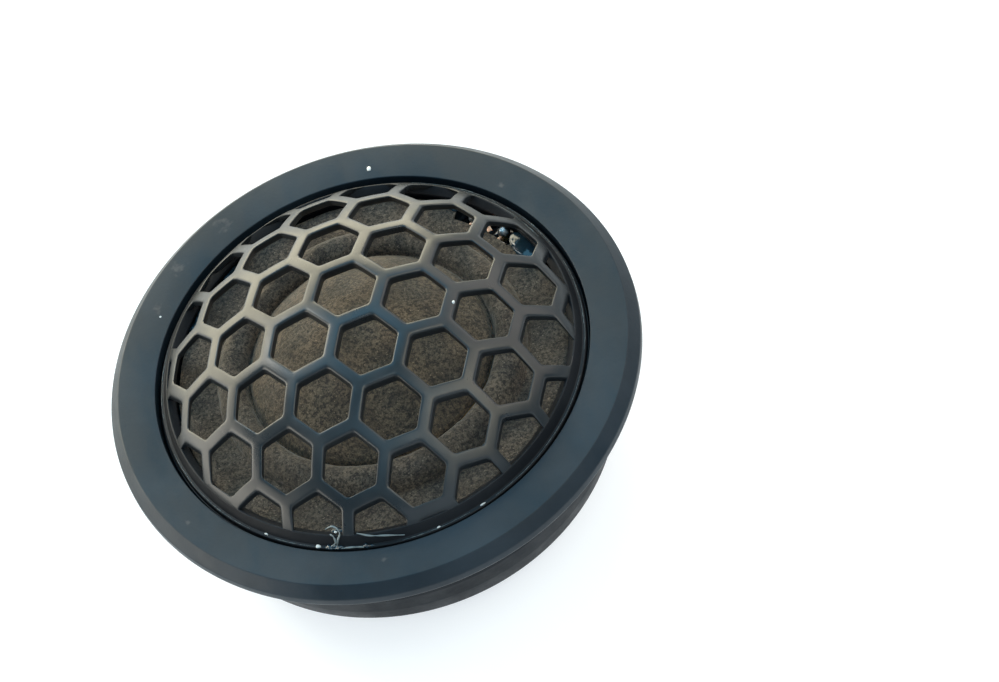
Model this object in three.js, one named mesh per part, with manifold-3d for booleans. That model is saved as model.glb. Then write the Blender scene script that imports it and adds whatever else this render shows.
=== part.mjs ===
// Car tweeter with a 25 mm textile dome behind a domed honeycomb grille.
// Millimetres, +Z along the sound axis. The origin is the centre of the flat rear boss, so the
// part lies on its back with its grille upwards.
import * as THREE from 'three';
import { mergeVertices } from 'three/addons/utils/BufferGeometryUtils.js';
import Module from 'manifold-3d';

const wasm = await Module();
wasm.setup();

// ---------------------------------------------------------------- driving dimensions
const SEGMENTS = 48;               // sides of every large turned piece
const SMALL_SEGMENTS = 12;         // sides of pins and screws
const GAP = 0.2;                   // space left between glued or seated pieces

const FACE_Z = 17.0;               // front plane of the flange
const FLANGE_R = 28.0;
const FLANGE_T = 2.4;
const CHAMFER_W = 1.05;            // bevel round the front edge
const CHAMFER_H = 1.25;
const OPENING_R = 22.95;           // opening that the grille drops into
const NECK_R = 24.0;
const RING_R = 24.45;              // raised band behind the flange
const RING_TOP_Z = FACE_Z - 4.4;
const NECK_END_Z = FACE_Z - 5.9;
const NECK_BORE_R = 22.6;
const LIP_R = 18.3;                // shelf inside the neck
const LIP_TOP_Z = FACE_Z - 2.6;
const LIP_BOTTOM_Z = FACE_Z - 5.0;

const CAN_FRONT_Z = FACE_Z - 6.5;
const CAN_FRONT_R = 24.2;
const CAN_REAR_Z = FACE_Z - 13.9;
const CAN_REAR_R = 22.9;
const CAN_EDGE_R = 1.2;            // rounding of the rear corner
const CAN_WALL = 1.3;
const BOSS_R = 16.9;               // rear boss over the motor
const FOAM_R = 18.3;               // damping ring in the rear can

const DOME_BASE_R = 12.6;          // a 25 mm voice coil's dome
const DOME_BASE_Z = FACE_Z + 0.6;
const DOME_TOP_Z = FACE_Z + 6.2;
const DOME_T = 0.3;

const SURROUND_FOOT_R = 19.3;
const SURROUND_FOOT_W = 2.9;       // flat rim outside the roll
const SURROUND_INNER_R = 12.85;
const SURROUND_FOOT_Z = FACE_Z - 1.0;
const SURROUND_CREST_Z = FACE_Z + 1.6;
const SURROUND_T = 0.3;

const FORMER_R = 12.6;
const FORMER_WALL = 0.3;
const FORMER_BOTTOM_Z = FACE_Z - 5.4;
const WINDING_R = 13.1;
const WINDING_TOP_Z = FACE_Z - 2.4;
const WINDING_BOTTOM_Z = FACE_Z - 5.2;

const CUP_R = 15.2;
const CUP_BORE_R = 13.5;
const CUP_RIM_Z = FACE_Z - 2.4;
const CUP_BOTTOM_Z = 1.6;
const CUP_FLOOR_Z = FACE_Z - 12.0;
const MAGNET_R = 11.4;
const MAGNET_TOP_Z = FACE_Z - 5.8;
const PLATE_R = 11.6;
const PLATE_TOP_Z = FACE_Z - 2.7;
const CAP_R = 12.05;
const FELT_R = 9.0;
const FELT_T = 1.5;

const CARRIER_TUBE_R = 16.9;
const CARRIER_SEAT_R = 18.0;
const CARRIER_SEAT_Z = FACE_Z - 1.2;
const CARRIER_FLANGE_TOP_Z = FACE_Z - 5.8;
const CARRIER_FLANGE_T = 1.2;
const CARRIER_R = 22.3;
const RIM_SUPPORT_BORE_R = 18.25;  // ring on the shelf under the surround's rim

const GRILLE_SPHERE_R = 29.0;      // outside of the domed mesh
const GRILLE_TOP_Z = FACE_Z + 10.7;
const GRILLE_T = 1.2;              // of the bars, along +Z
const GRILLE_RIM_R = 22.7;
const GRILLE_RIM_BORE_R = 21.1;
const GRILLE_RIM_TOP_Z = FACE_Z - 1.1;
const GRILLE_RIM_BOTTOM_Z = FACE_Z - 2.3;
const GRILLE_LEDGE_R = 22.5;       // narrow flat ledge round the foot of the border
const GRILLE_LEDGE_Z = FACE_Z - 0.3;
const GRILLE_WALL_R = 22.1;        // foot of the border's steep wall
const GRILLE_BORDER_R = 21.6;      // top of the steep wall, on the dome
const GRILLE_BORDER_T = 1.5;
const GRILLE_BORDER_STEP = 0.05;   // the border stands this much proud of the bars
const CELL_PITCH = 7.3;            // measured along the domed surface
const CELL_BAR = 1.7;
const CELL_TURN = -30;             // degrees, direction of one row of cells
const CELL_OFFSET = [0.4, 2.1];    // the cell nearest the apex
const HONEYCOMB_REACH = 30;        // past the grille's edge, along the surface

const TERMINAL_AZ = 36;            // degrees
const TERMINAL_R = 20.6;
const PIN_R = 0.5;
const PIN_SPREAD = 1.9;            // half the distance between the two pins
const PIN_TOP_Z = FACE_Z - 1.8;
const PIN_BOTTOM_Z = FACE_Z - 8.6;
const BLOCK = { radial: 2.4, wide: 7.0 };
const PIN_CIRCLE_R = TERMINAL_R - 0.3;
const LEAD_R = 0.25;
const LEAD_Z = FACE_Z - 1.95;
const WIRE_R = 0.42;               // insulated wires in the rear can
const WIRE_RUN_R = 20.4;

const SCREW_CIRCLE_R = 20.6;
const SCREW_AZ = [96, 216, 336];   // degrees
const SCREW_R = 0.75;
const SCREW_HEAD_R = 1.6;
const SCREW_CLEARANCE_R = 1.0;
const GLAND_AZ = 102.5;            // degrees
const GLAND_CIRCLE_R = 19.6;
const GLAND_R = 1.5;
const GLAND_HEAD_R = 1.9;

// ---------------------------------------------------------------- helpers
const radians = THREE.MathUtils.degToRad;

function point(radius, azimuth, z) {
  const a = radians(azimuth);
  return new THREE.Vector3(radius * Math.cos(a), radius * Math.sin(a), z);
}

// a solid of revolution about +Z from [r, z] pairs, listed so that its faces point out
function turned(profile, segments = SEGMENTS, closed = true) {
  const points = profile.map(([r, z]) => new THREE.Vector2(r, z));
  if (closed) {
    points.push(points[0].clone());
  }
  const geometry = new THREE.LatheGeometry(points, segments);
  geometry.rotateX(Math.PI / 2);
  return tidy(geometry);
}

// a ring with a rectangular section
function ring(inner, outer, bottom, top, segments = SEGMENTS) {
  return turned([[outer, bottom], [outer, top], [inner, top], [inner, bottom]], segments);
}

// a plain disc
function disc(radius, bottom, top, segments = SEGMENTS) {
  return turned([[0, bottom], [radius, bottom], [radius, top], [0, top]], segments, false);
}

// points along an arc in the profile plane, angles in degrees
function arc(r, z, radius, from, to, steps) {
  const points = [];
  for (let i = 0; i <= steps; i += 1) {
    const a = radians(from + ((to - from) * i) / steps);
    points.push([r + radius * Math.cos(a), z + radius * Math.sin(a)]);
  }
  return points;
}

function box(radial, wide, bottom, top, radius, azimuth) {
  const geometry = new THREE.BoxGeometry(radial, wide, top - bottom);
  geometry.rotateZ(radians(azimuth));
  const centre = point(radius, azimuth, (bottom + top) / 2);
  geometry.translate(centre.x, centre.y, centre.z);
  return tidy(geometry);
}

function rod(radius, bottom, top, centre, segments = SMALL_SEGMENTS) {
  const geometry = disc(radius, bottom, top, segments);
  geometry.translate(centre.x, centre.y, 0);
  return geometry;
}

// a round wire along a smooth curve through the given points
function wire(points, radius, steps) {
  const path = new THREE.CatmullRomCurve3(points);
  const section = new THREE.Shape();
  section.absarc(0, 0, radius, 0, 2 * Math.PI);
  return tidy(new THREE.ExtrudeGeometry(section, {
    steps, extrudePath: path, curveSegments: 4, bevelEnabled: false,
  }));
}

// keeps only positions and merges the shared vertices
function tidy(geometry) {
  const bare = geometry.clone();
  for (const name of Object.keys(bare.attributes)) {
    if (name !== 'position') {
      bare.deleteAttribute(name);
    }
  }
  return withoutSlivers(mergeVertices(bare, 1e-4));
}

// drops the zero-area triangles that a lathe leaves on its axis
function withoutSlivers(geometry) {
  const old = geometry.index.array;
  const kept = [];
  for (let i = 0; i < old.length; i += 3) {
    const [a, b, c] = [old[i], old[i + 1], old[i + 2]];
    if (a !== b && b !== c && c !== a) {
      kept.push(a, b, c);
    }
  }
  geometry.setIndex(kept);
  return geometry;
}

function solid(geometry) {
  return new wasm.Manifold(new wasm.Mesh({
    numProp: 3,
    vertProperties: new Float32Array(geometry.attributes.position.array),
    triVerts: new Uint32Array(geometry.index.array),
  }));
}

function fromSolid(manifold) {
  const mesh = manifold.getMesh();
  const geometry = new THREE.BufferGeometry();
  geometry.setAttribute('position', new THREE.BufferAttribute(new Float32Array(mesh.vertProperties), 3));
  geometry.setIndex(Array.from(mesh.triVerts));
  return geometry;
}

function cut(geometry, ...tools) {
  let result = solid(geometry);
  for (const tool of tools) {
    result = result.subtract(solid(tool));
  }
  return fromSolid(result);
}

// ---------------------------------------------------------------- front housing
function frontFlange() {
  const body = turned([
    [LIP_R, LIP_BOTTOM_Z], [NECK_BORE_R, LIP_BOTTOM_Z], [NECK_BORE_R, NECK_END_Z],
    [RING_R - 0.2, NECK_END_Z], [RING_R, NECK_END_Z + 0.2], [RING_R, RING_TOP_Z - 0.15],
    [RING_R - 0.15, RING_TOP_Z], [NECK_R, RING_TOP_Z],
    [NECK_R, FACE_Z - FLANGE_T], [FLANGE_R - 0.2, FACE_Z - FLANGE_T], [FLANGE_R, FACE_Z - FLANGE_T + 0.2],
    [FLANGE_R, FACE_Z - CHAMFER_H], [FLANGE_R - CHAMFER_W, FACE_Z], [OPENING_R, FACE_Z],
    [OPENING_R, LIP_TOP_Z], [LIP_R, LIP_TOP_Z],
  ]);
  const window = box(
    BLOCK.radial + 2 * GAP, BLOCK.wide + 2 * GAP, LIP_BOTTOM_Z - 1, LIP_TOP_Z + 1, TERMINAL_R, TERMINAL_AZ);
  const pilots = SCREW_AZ.map((az) => rod(
    SCREW_R + 0.15, LIP_BOTTOM_Z - 1, LIP_TOP_Z - 0.6, point(SCREW_CIRCLE_R, az, 0)));
  return cut(body, window, ...pilots);
}

function neckSeal() {
  return ring(NECK_BORE_R + 0.4, CAN_FRONT_R - 0.55, CAN_FRONT_Z + 0.1, NECK_END_Z - 0.1);
}

// ---------------------------------------------------------------- grille
// a point at a distance along the domed surface from the apex; the openings' walls run along +Z
function grillePoint(x, y, inside) {
  const distance = Math.hypot(x, y);
  const angle = distance / GRILLE_SPHERE_R;
  const r = GRILLE_SPHERE_R * Math.sin(angle);
  const z = GRILLE_TOP_Z - GRILLE_SPHERE_R * (1 - Math.cos(angle)) - (inside ? GRILLE_T : 0);
  const scale = distance > 0 ? r / distance : 1;
  return [x * scale, y * scale, z];
}

// centres of the cells, in the flat pattern, out to a given distance
function cellCentres(reach) {
  const a = radians(CELL_TURN);
  const centres = [];
  for (let i = -6; i <= 6; i += 1) {
    for (let j = -6; j <= 6; j += 1) {
      const u = (i + j / 2) * CELL_PITCH;
      const v = (j * Math.sqrt(3) * CELL_PITCH) / 2;
      const x = CELL_OFFSET[0] + u * Math.cos(a) - v * Math.sin(a);
      const y = CELL_OFFSET[1] + u * Math.sin(a) + v * Math.cos(a);
      if (Math.hypot(x, y) < reach) {
        centres.push([x, y]);
      }
    }
  }
  return centres;
}

// the honeycomb, before its edge is trimmed
function honeycomb() {
  const positions = [];
  const indices = [];
  const known = new Map();
  const vertex = (x, y, inside) => {
    const key = `${x.toFixed(3)},${y.toFixed(3)},${inside}`;
    if (!known.has(key)) {
      known.set(key, positions.length / 3);
      positions.push(...grillePoint(x, y, inside));
    }
    return known.get(key);
  };
  const quad = (a, b, c, d) => indices.push(a, b, c, a, c, d);
  const cornerR = CELL_PITCH / Math.sqrt(3);
  const openingR = (CELL_PITCH - CELL_BAR) / Math.sqrt(3);
  const corner = (centre, radius, k) => {
    const a = radians(CELL_TURN + 30 + 60 * k);
    return [centre[0] + radius * Math.cos(a), centre[1] + radius * Math.sin(a)];
  };
  const centres = cellCentres(HONEYCOMB_REACH);
  const isCell = (x, y) => centres.some((c) => Math.hypot(c[0] - x, c[1] - y) < 0.1);
  for (const centre of centres) {
    for (let k = 0; k < 6; k += 1) {
      const edge = [corner(centre, cornerR, k), corner(centre, cornerR, k + 1)];
      const opening = [corner(centre, openingR, k), corner(centre, openingR, k + 1)];
      const top = [...edge, ...opening].map(([x, y]) => vertex(x, y, false));
      const under = [...edge, ...opening].map(([x, y]) => vertex(x, y, true));
      quad(top[0], top[1], top[3], top[2]);
      quad(under[1], under[0], under[2], under[3]);
      quad(top[2], top[3], under[3], under[2]);
      const acrossX = edge[0][0] + edge[1][0] - centre[0];
      const acrossY = edge[0][1] + edge[1][1] - centre[1];
      if (!isCell(acrossX, acrossY)) {
        quad(top[1], top[0], under[0], under[1]);
      }
    }
  }
  const geometry = new THREE.BufferGeometry();
  geometry.setAttribute('position', new THREE.BufferAttribute(new Float32Array(positions), 3));
  geometry.setIndex(indices);
  return geometry;
}

// a point of the dome's profile at a depth below its outside
function domeProfile(r, depth) {
  const scale = (GRILLE_SPHERE_R - depth) / GRILLE_SPHERE_R;
  const height = Math.sqrt(GRILLE_SPHERE_R ** 2 - r ** 2);
  return [r * scale, GRILLE_TOP_Z - GRILLE_SPHERE_R + height * scale];
}

// the steep border that the bars run into, down to the rim that drops into the flange
function grilleBorder() {
  return turned([
    [GRILLE_RIM_R, GRILLE_RIM_BOTTOM_Z], [GRILLE_RIM_R, GRILLE_RIM_TOP_Z],
    [GRILLE_LEDGE_R, GRILLE_RIM_TOP_Z], [GRILLE_LEDGE_R, GRILLE_LEDGE_Z], [GRILLE_WALL_R, GRILLE_LEDGE_Z],
    domeProfile(GRILLE_BORDER_R, -GRILLE_BORDER_STEP),
    domeProfile(GRILLE_BORDER_R, GRILLE_BORDER_T - GRILLE_BORDER_STEP),
    [GRILLE_RIM_BORE_R, GRILLE_LEDGE_Z - 0.4], [GRILLE_RIM_BORE_R, GRILLE_RIM_BOTTOM_Z],
  ]);
}

function hexGrille() {
  const foot = GRILLE_LEDGE_Z + 0.1;
  const [topR, topZ] = domeProfile(GRILLE_BORDER_R, 0);
  const above = GRILLE_TOP_Z + 5;
  const keep = turned([
    [0, foot], [GRILLE_WALL_R - GRILLE_BORDER_STEP, foot], [topR, topZ], [topR, above], [0, above],
  ], SEGMENTS, false);
  const bars = solid(honeycomb()).intersect(solid(keep));
  return fromSolid(bars.add(solid(grilleBorder())));
}

// ---------------------------------------------------------------- moving assembly
function domeArc(radiusAtBase, baseZ, topZ) {
  const height = topZ - baseZ;
  const radius = (radiusAtBase ** 2 + height ** 2) / (2 * height);
  const edge = THREE.MathUtils.radToDeg(Math.asin(radiusAtBase / radius));
  return arc(0, topZ - radius, radius, 90 - edge, 90, 6).map(([r, z]) => [Math.abs(r) < 1e-6 ? 0 : r, z]);
}

function domeDiaphragm() {
  const outside = domeArc(DOME_BASE_R, DOME_BASE_Z, DOME_TOP_Z);
  const inside = domeArc(DOME_BASE_R - DOME_T, DOME_BASE_Z, DOME_TOP_Z - DOME_T).reverse();
  return turned([...inside, ...outside], SEGMENTS, false);
}

function surround() {
  const rollR = SURROUND_FOOT_R - SURROUND_FOOT_W;
  const middle = (SURROUND_INNER_R + rollR) / 2;
  const width = rollR - SURROUND_INNER_R;
  const rise = SURROUND_CREST_Z - SURROUND_FOOT_Z;
  const steps = 6;
  const outside = [];
  const inside = [];
  for (let i = 0; i <= steps; i += 1) {
    const t = i / steps;
    const base = SURROUND_FOOT_Z + (DOME_BASE_Z - SURROUND_FOOT_Z) * t;
    const lift = (rise - (DOME_BASE_Z - SURROUND_FOOT_Z) / 2) * Math.sin(Math.PI * t);
    const r = middle + (width / 2) * Math.cos(Math.PI * t);
    outside.push([r, base + lift]);
    inside.push([middle + (width / 2 - SURROUND_T) * Math.cos(Math.PI * t), base + lift - SURROUND_T]);
  }
  outside[0][1] += SURROUND_T;
  inside[0][1] = SURROUND_FOOT_Z;
  inside[0][0] = outside[0][0] - SURROUND_T;
  inside[steps][1] = DOME_BASE_Z - SURROUND_T;
  outside[steps][1] = DOME_BASE_Z;
  return turned([
    ...inside.reverse(), [SURROUND_FOOT_R, SURROUND_FOOT_Z],
    [SURROUND_FOOT_R, SURROUND_FOOT_Z + SURROUND_T], ...outside,
  ]);
}

function voiceCoilFormer() {
  return ring(FORMER_R - FORMER_WALL, FORMER_R, FORMER_BOTTOM_Z, DOME_BASE_Z - 0.1);
}

function voiceCoilWinding() {
  return ring(FORMER_R + 0.1, WINDING_R, WINDING_BOTTOM_Z, WINDING_TOP_Z);
}

// ---------------------------------------------------------------- motor
function motorCup() {
  return turned([
    [0, CUP_BOTTOM_Z], [CUP_R - 0.6, CUP_BOTTOM_Z], [CUP_R, CUP_BOTTOM_Z + 0.6], [CUP_R, CUP_RIM_Z],
    [CUP_BORE_R, CUP_RIM_Z], [CUP_BORE_R, CUP_FLOOR_Z], [0, CUP_FLOOR_Z],
  ], SEGMENTS, false);
}

function magnet() {
  return disc(MAGNET_R, CUP_FLOOR_Z + 0.1, MAGNET_TOP_Z);
}

function polePlate() {
  return disc(PLATE_R, MAGNET_TOP_Z + 0.1, PLATE_TOP_Z);
}

function shortingCap() {
  const bottom = MAGNET_TOP_Z + 0.1;
  const top = PLATE_TOP_Z + 0.4;
  return turned([
    [PLATE_R + 0.1, bottom], [CAP_R, bottom], [CAP_R, top], [0, top], [0, top - 0.3],
    [PLATE_R + 0.1, top - 0.3],
  ], SEGMENTS, true);
}

function dampingFelt() {
  const bottom = PLATE_TOP_Z + 0.5;
  return disc(FELT_R, bottom, bottom + FELT_T, 32);
}

// ---------------------------------------------------------------- diaphragm carrier
function diaphragmCarrier() {
  const flangeBottom = CARRIER_FLANGE_TOP_Z - CARRIER_FLANGE_T;
  const seatBottom = CUP_RIM_Z + GAP;
  const body = turned([
    [CUP_R + GAP, seatBottom], [CUP_R + GAP, flangeBottom], [CARRIER_R, flangeBottom],
    [CARRIER_R, CARRIER_FLANGE_TOP_Z], [CARRIER_TUBE_R, CARRIER_FLANGE_TOP_Z],
    [CARRIER_TUBE_R, CARRIER_SEAT_Z - 1.2], [CARRIER_SEAT_R, CARRIER_SEAT_Z - 0.8],
    [CARRIER_SEAT_R, CARRIER_SEAT_Z], [CUP_BORE_R + 0.5, CARRIER_SEAT_Z], [CUP_BORE_R + 0.5, seatBottom],
  ]);
  const notch = box(
    BLOCK.radial + 3, BLOCK.wide + 2 * GAP, flangeBottom - 1, CARRIER_FLANGE_TOP_Z + 1,
    TERMINAL_R - GAP + 1.5, TERMINAL_AZ);
  const holes = SCREW_AZ.map((az) => rod(
    SCREW_CLEARANCE_R, flangeBottom - 1, CARRIER_FLANGE_TOP_Z + 1, point(SCREW_CIRCLE_R, az, 0)));
  const slots = [-1, 1].map((side) => leadSlot(side));
  return cut(body, notch, ...holes, ...slots);
}

// the radial slot that lets one tinsel lead out through the carrier's seat
function leadSlot(side) {
  const slot = new THREE.BoxGeometry(5.6, 1.2, 2.0);
  slot.translate(16.0, side * PIN_SPREAD, LEAD_Z + 0.3);
  slot.rotateZ(radians(TERMINAL_AZ));
  return tidy(slot);
}

// a ring open at the terminals, so that the leads can pass
function surroundRing() {
  const top = CARRIER_SEAT_Z;
  const body = ring(RIM_SUPPORT_BORE_R, SURROUND_FOOT_R, LIP_TOP_Z + GAP / 2, top);
  const middle = (RIM_SUPPORT_BORE_R + SURROUND_FOOT_R) / 2;
  return cut(body, box(3, BLOCK.wide + 2 * GAP, LIP_TOP_Z - 1, top + 1, middle, TERMINAL_AZ));
}

function carrierGasket() {
  return ring(LIP_R + 0.1, LIP_R + 0.8, CARRIER_FLANGE_TOP_Z + 0.1, LIP_BOTTOM_Z - 0.1);
}

function carrierScrew(azimuth) {
  const seat = CARRIER_FLANGE_TOP_Z - CARRIER_FLANGE_T - 0.1;
  const profile = [
    [0, seat - 0.9], [SCREW_HEAD_R - 0.3, seat - 0.9], [SCREW_HEAD_R, seat - 0.6], [SCREW_HEAD_R, seat],
    [SCREW_R, seat], [SCREW_R, LIP_TOP_Z - 1.2], [SCREW_R - 0.3, LIP_TOP_Z - 0.8], [0, LIP_TOP_Z - 0.8],
  ];
  const body = turned(profile, SMALL_SEGMENTS, false);
  const slotA = new THREE.BoxGeometry(1.9, 0.4, 0.8);
  const slotB = new THREE.BoxGeometry(0.4, 1.9, 0.8);
  for (const slot of [slotA, slotB]) {
    slot.translate(0, 0, seat - 0.9);
  }
  const geometry = cut(body, tidy(slotA), tidy(slotB));
  const centre = point(SCREW_CIRCLE_R, azimuth, 0);
  geometry.translate(centre.x, centre.y, 0);
  return geometry;
}

// ---------------------------------------------------------------- terminals and leads
// a place beside the terminal block, given outwards and sideways of its azimuth
function atTerminal(outward, sideways, z) {
  const spot = new THREE.Vector3(outward, sideways, z);
  return spot.applyAxisAngle(new THREE.Vector3(0, 0, 1), radians(TERMINAL_AZ));
}

function terminalBlock() {
  const body = box(BLOCK.radial, BLOCK.wide, PIN_BOTTOM_Z + 0.9, LIP_TOP_Z, TERMINAL_R, TERMINAL_AZ);
  const bores = [-1, 1].map((side) => rod(
    PIN_R + 0.1, PIN_BOTTOM_Z, LIP_TOP_Z + 1, atTerminal(PIN_CIRCLE_R, side * PIN_SPREAD, 0)));
  return cut(body, ...bores);
}

function terminalPin(side) {
  return rod(PIN_R, PIN_BOTTOM_Z, PIN_TOP_Z, atTerminal(PIN_CIRCLE_R, side * PIN_SPREAD, 0));
}

function solderJoint(side) {
  const profile = [[0, PIN_TOP_Z + 0.1], [0.75, PIN_TOP_Z + 0.1], [0.7, PIN_TOP_Z + 0.35],
    [0.4, PIN_TOP_Z + 0.6], [0, PIN_TOP_Z + 0.7]];
  const geometry = turned(profile, SMALL_SEGMENTS, false);
  const centre = atTerminal(PIN_CIRCLE_R, side * PIN_SPREAD, 0);
  geometry.translate(centre.x, centre.y, 0);
  return geometry;
}

// a braided lead from the former to its pin, slack enough to follow the coil
function tinselLead(side) {
  const start = 12.95;
  const end = PIN_CIRCLE_R - PIN_R - 0.15;
  const spots = [0, 0.25, 0.5, 0.75, 1].map((t) => atTerminal(
    start + (end - start) * t, side * PIN_SPREAD, LEAD_Z + 0.06 * Math.sin(Math.PI * t)));
  return wire(spots, LEAD_R, 6);
}

// the run inside the rear can from one pin to the gland
function hookupWire(side) {
  const glandTop = CAN_REAR_Z + CAN_WALL + 1.5;
  const runR = WIRE_RUN_R + 1.55 * WIRE_R * side;
  const pin = atTerminal(PIN_CIRCLE_R, side * PIN_SPREAD, PIN_BOTTOM_Z - WIRE_R - 0.13);
  const spots = [pin];
  const runStart = TERMINAL_AZ + 16;
  for (let i = 0; i <= 4; i += 1) {
    spots.push(point(runR, runStart + (GLAND_AZ - 12 - runStart) * (i / 4), CAN_REAR_Z + 4.0));
  }
  spots.push(point(GLAND_CIRCLE_R + 1.3 * WIRE_R * side, GLAND_AZ, glandTop));
  return wire(spots, WIRE_R, 16);
}

// ---------------------------------------------------------------- rear can
function rearCan() {
  const edgeZ = CAN_REAR_Z + CAN_EDGE_R;
  const wellR = CUP_R + 0.3;
  const corner = arc(CAN_REAR_R - CAN_EDGE_R, edgeZ, CAN_EDGE_R, 0, -90, 3).reverse();
  const floorZ = CAN_REAR_Z + CAN_WALL;
  const body = turned([
    [0, 0], [BOSS_R - 0.5, 0], [BOSS_R, 0.5], [BOSS_R, CAN_REAR_Z], ...corner,
    [CAN_FRONT_R, CAN_FRONT_Z - 0.3], [CAN_FRONT_R - 0.3, CAN_FRONT_Z], [CAN_FRONT_R - CAN_WALL, CAN_FRONT_Z],
    [CAN_REAR_R - CAN_WALL, floorZ], [wellR, floorZ], [wellR, CAN_WALL], [0, CAN_WALL],
  ], SEGMENTS, false);
  const exit = rod(GLAND_R + 0.1, CAN_REAR_Z - 1, floorZ + 1, point(GLAND_CIRCLE_R, GLAND_AZ, 0));
  return cut(body, exit);
}

function chamberFoam() {
  const floorZ = CAN_REAR_Z + CAN_WALL;
  return ring(CUP_R + 0.5, FOAM_R, floorZ + 0.9, floorZ + 4.2, 32);
}

function cableGland() {
  const floorZ = CAN_REAR_Z + CAN_WALL;
  const bore = 0.8;
  const geometry = turned([
    [bore, CAN_REAR_Z - 2.5], [GLAND_HEAD_R - 0.6, CAN_REAR_Z - 2.5], [GLAND_HEAD_R - 0.15, CAN_REAR_Z - 2.2],
    [GLAND_HEAD_R, CAN_REAR_Z - 1.5], [GLAND_HEAD_R, CAN_REAR_Z - 0.1], [GLAND_R, CAN_REAR_Z - 0.1],
    [GLAND_R, floorZ + 0.1], [GLAND_HEAD_R, floorZ + 0.1], [GLAND_HEAD_R, floorZ + 0.6], [bore, floorZ + 0.6],
  ], SMALL_SEGMENTS + 4);
  const centre = point(GLAND_CIRCLE_R, GLAND_AZ, 0);
  geometry.translate(centre.x, centre.y, 0);
  return geometry;
}

// ---------------------------------------------------------------- finishes and assembly
const FINISH = {
  flange: { color: 0x14181b, roughness: 0.45, metalness: 0 },
  can: { color: 0x171a1e, roughness: 0.4, metalness: 0 },
  grille: { color: 0x0d0f11, roughness: 0.35, metalness: 0 },
  carrier: { color: 0x0b0c0e, roughness: 0.25, metalness: 0 },
  textile: { color: 0x2b2723, roughness: 0.95, metalness: 0 },
  foam: { color: 0x1c1b1a, roughness: 1, metalness: 0 },
  felt: { color: 0x6d6a66, roughness: 1, metalness: 0 },
  rubber: { color: 0x111214, roughness: 0.7, metalness: 0 },
  steel: { color: 0x9aa0a4, roughness: 0.35, metalness: 1 },
  nickel: { color: 0xb8b6ae, roughness: 0.2, metalness: 1 },
  copper: { color: 0xb4714a, roughness: 0.35, metalness: 1 },
  brass: { color: 0xb99a55, roughness: 0.35, metalness: 1 },
  solder: { color: 0xbfc3c6, roughness: 0.3, metalness: 1 },
  former: { color: 0xc9a56a, roughness: 0.6, metalness: 0 },
  redWire: { color: 0x8e1f1b, roughness: 0.5, metalness: 0 },
  blackWire: { color: 0x141414, roughness: 0.5, metalness: 0 },
};

const tweeter = new THREE.Group();

function add(parent, name, geometry, finish) {
  const mesh = new THREE.Mesh(geometry, new THREE.MeshStandardMaterial(FINISH[finish]));
  mesh.name = name;
  parent.add(mesh);
}

const housing = new THREE.Group();
add(housing, 'front_flange', frontFlange(), 'flange');
add(housing, 'hex_grille', hexGrille(), 'grille');
add(housing, 'neck_seal', neckSeal(), 'rubber');
add(housing, 'rear_can', rearCan(), 'can');
add(housing, 'chamber_foam', chamberFoam(), 'foam');
add(housing, 'cable_gland', cableGland(), 'rubber');

const motor = new THREE.Group();
add(motor, 'motor_cup', motorCup(), 'steel');
add(motor, 'magnet', magnet(), 'nickel');
add(motor, 'pole_plate', polePlate(), 'steel');
add(motor, 'shorting_cap', shortingCap(), 'copper');
add(motor, 'damping_felt', dampingFelt(), 'felt');

const carrier = new THREE.Group();
add(carrier, 'diaphragm_carrier', diaphragmCarrier(), 'carrier');
add(carrier, 'surround_ring', surroundRing(), 'carrier');
add(carrier, 'carrier_gasket', carrierGasket(), 'foam');
SCREW_AZ.forEach((azimuth, i) => add(carrier, `carrier_screw_${i + 1}`, carrierScrew(azimuth), 'steel'));

const wiring = new THREE.Group();
add(wiring, 'terminal_block', terminalBlock(), 'carrier');
for (const [side, pole] of [[1, 'positive'], [-1, 'negative']]) {
  add(wiring, `terminal_pin_${pole}`, terminalPin(side), 'brass');
  add(wiring, `solder_joint_${pole}`, solderJoint(side), 'solder');
  add(wiring, `tinsel_lead_${pole}`, tinselLead(side), 'copper');
  add(wiring, `hookup_wire_${pole}`, hookupWire(side), side > 0 ? 'redWire' : 'blackWire');
}

const diaphragm = new THREE.Group();
add(diaphragm, 'dome_diaphragm', domeDiaphragm(), 'textile');
add(diaphragm, 'surround', surround(), 'textile');
add(diaphragm, 'voice_coil_former', voiceCoilFormer(), 'former');
add(diaphragm, 'voice_coil_winding', voiceCoilWinding(), 'copper');

tweeter.add(housing, motor, carrier, wiring, diaphragm);
export default tweeter;
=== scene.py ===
"""Looks for a car tweeter: a 25 mm textile dome behind a domed honeycomb grille.

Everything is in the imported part's frame: +Z along the sound axis, the flat rear boss at z = 0.
Sizes below are in millimetres and are scaled by MM where a mesh is made. The sizes of materials, lights
and bumps are in metres.
"""
from math import asin, atan2, cos, degrees, pi, radians, sin, sqrt, tan

import bmesh
import bpy
from mathutils import Matrix, Quaternion, Vector
from mathutils.noise import turbulence


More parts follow.
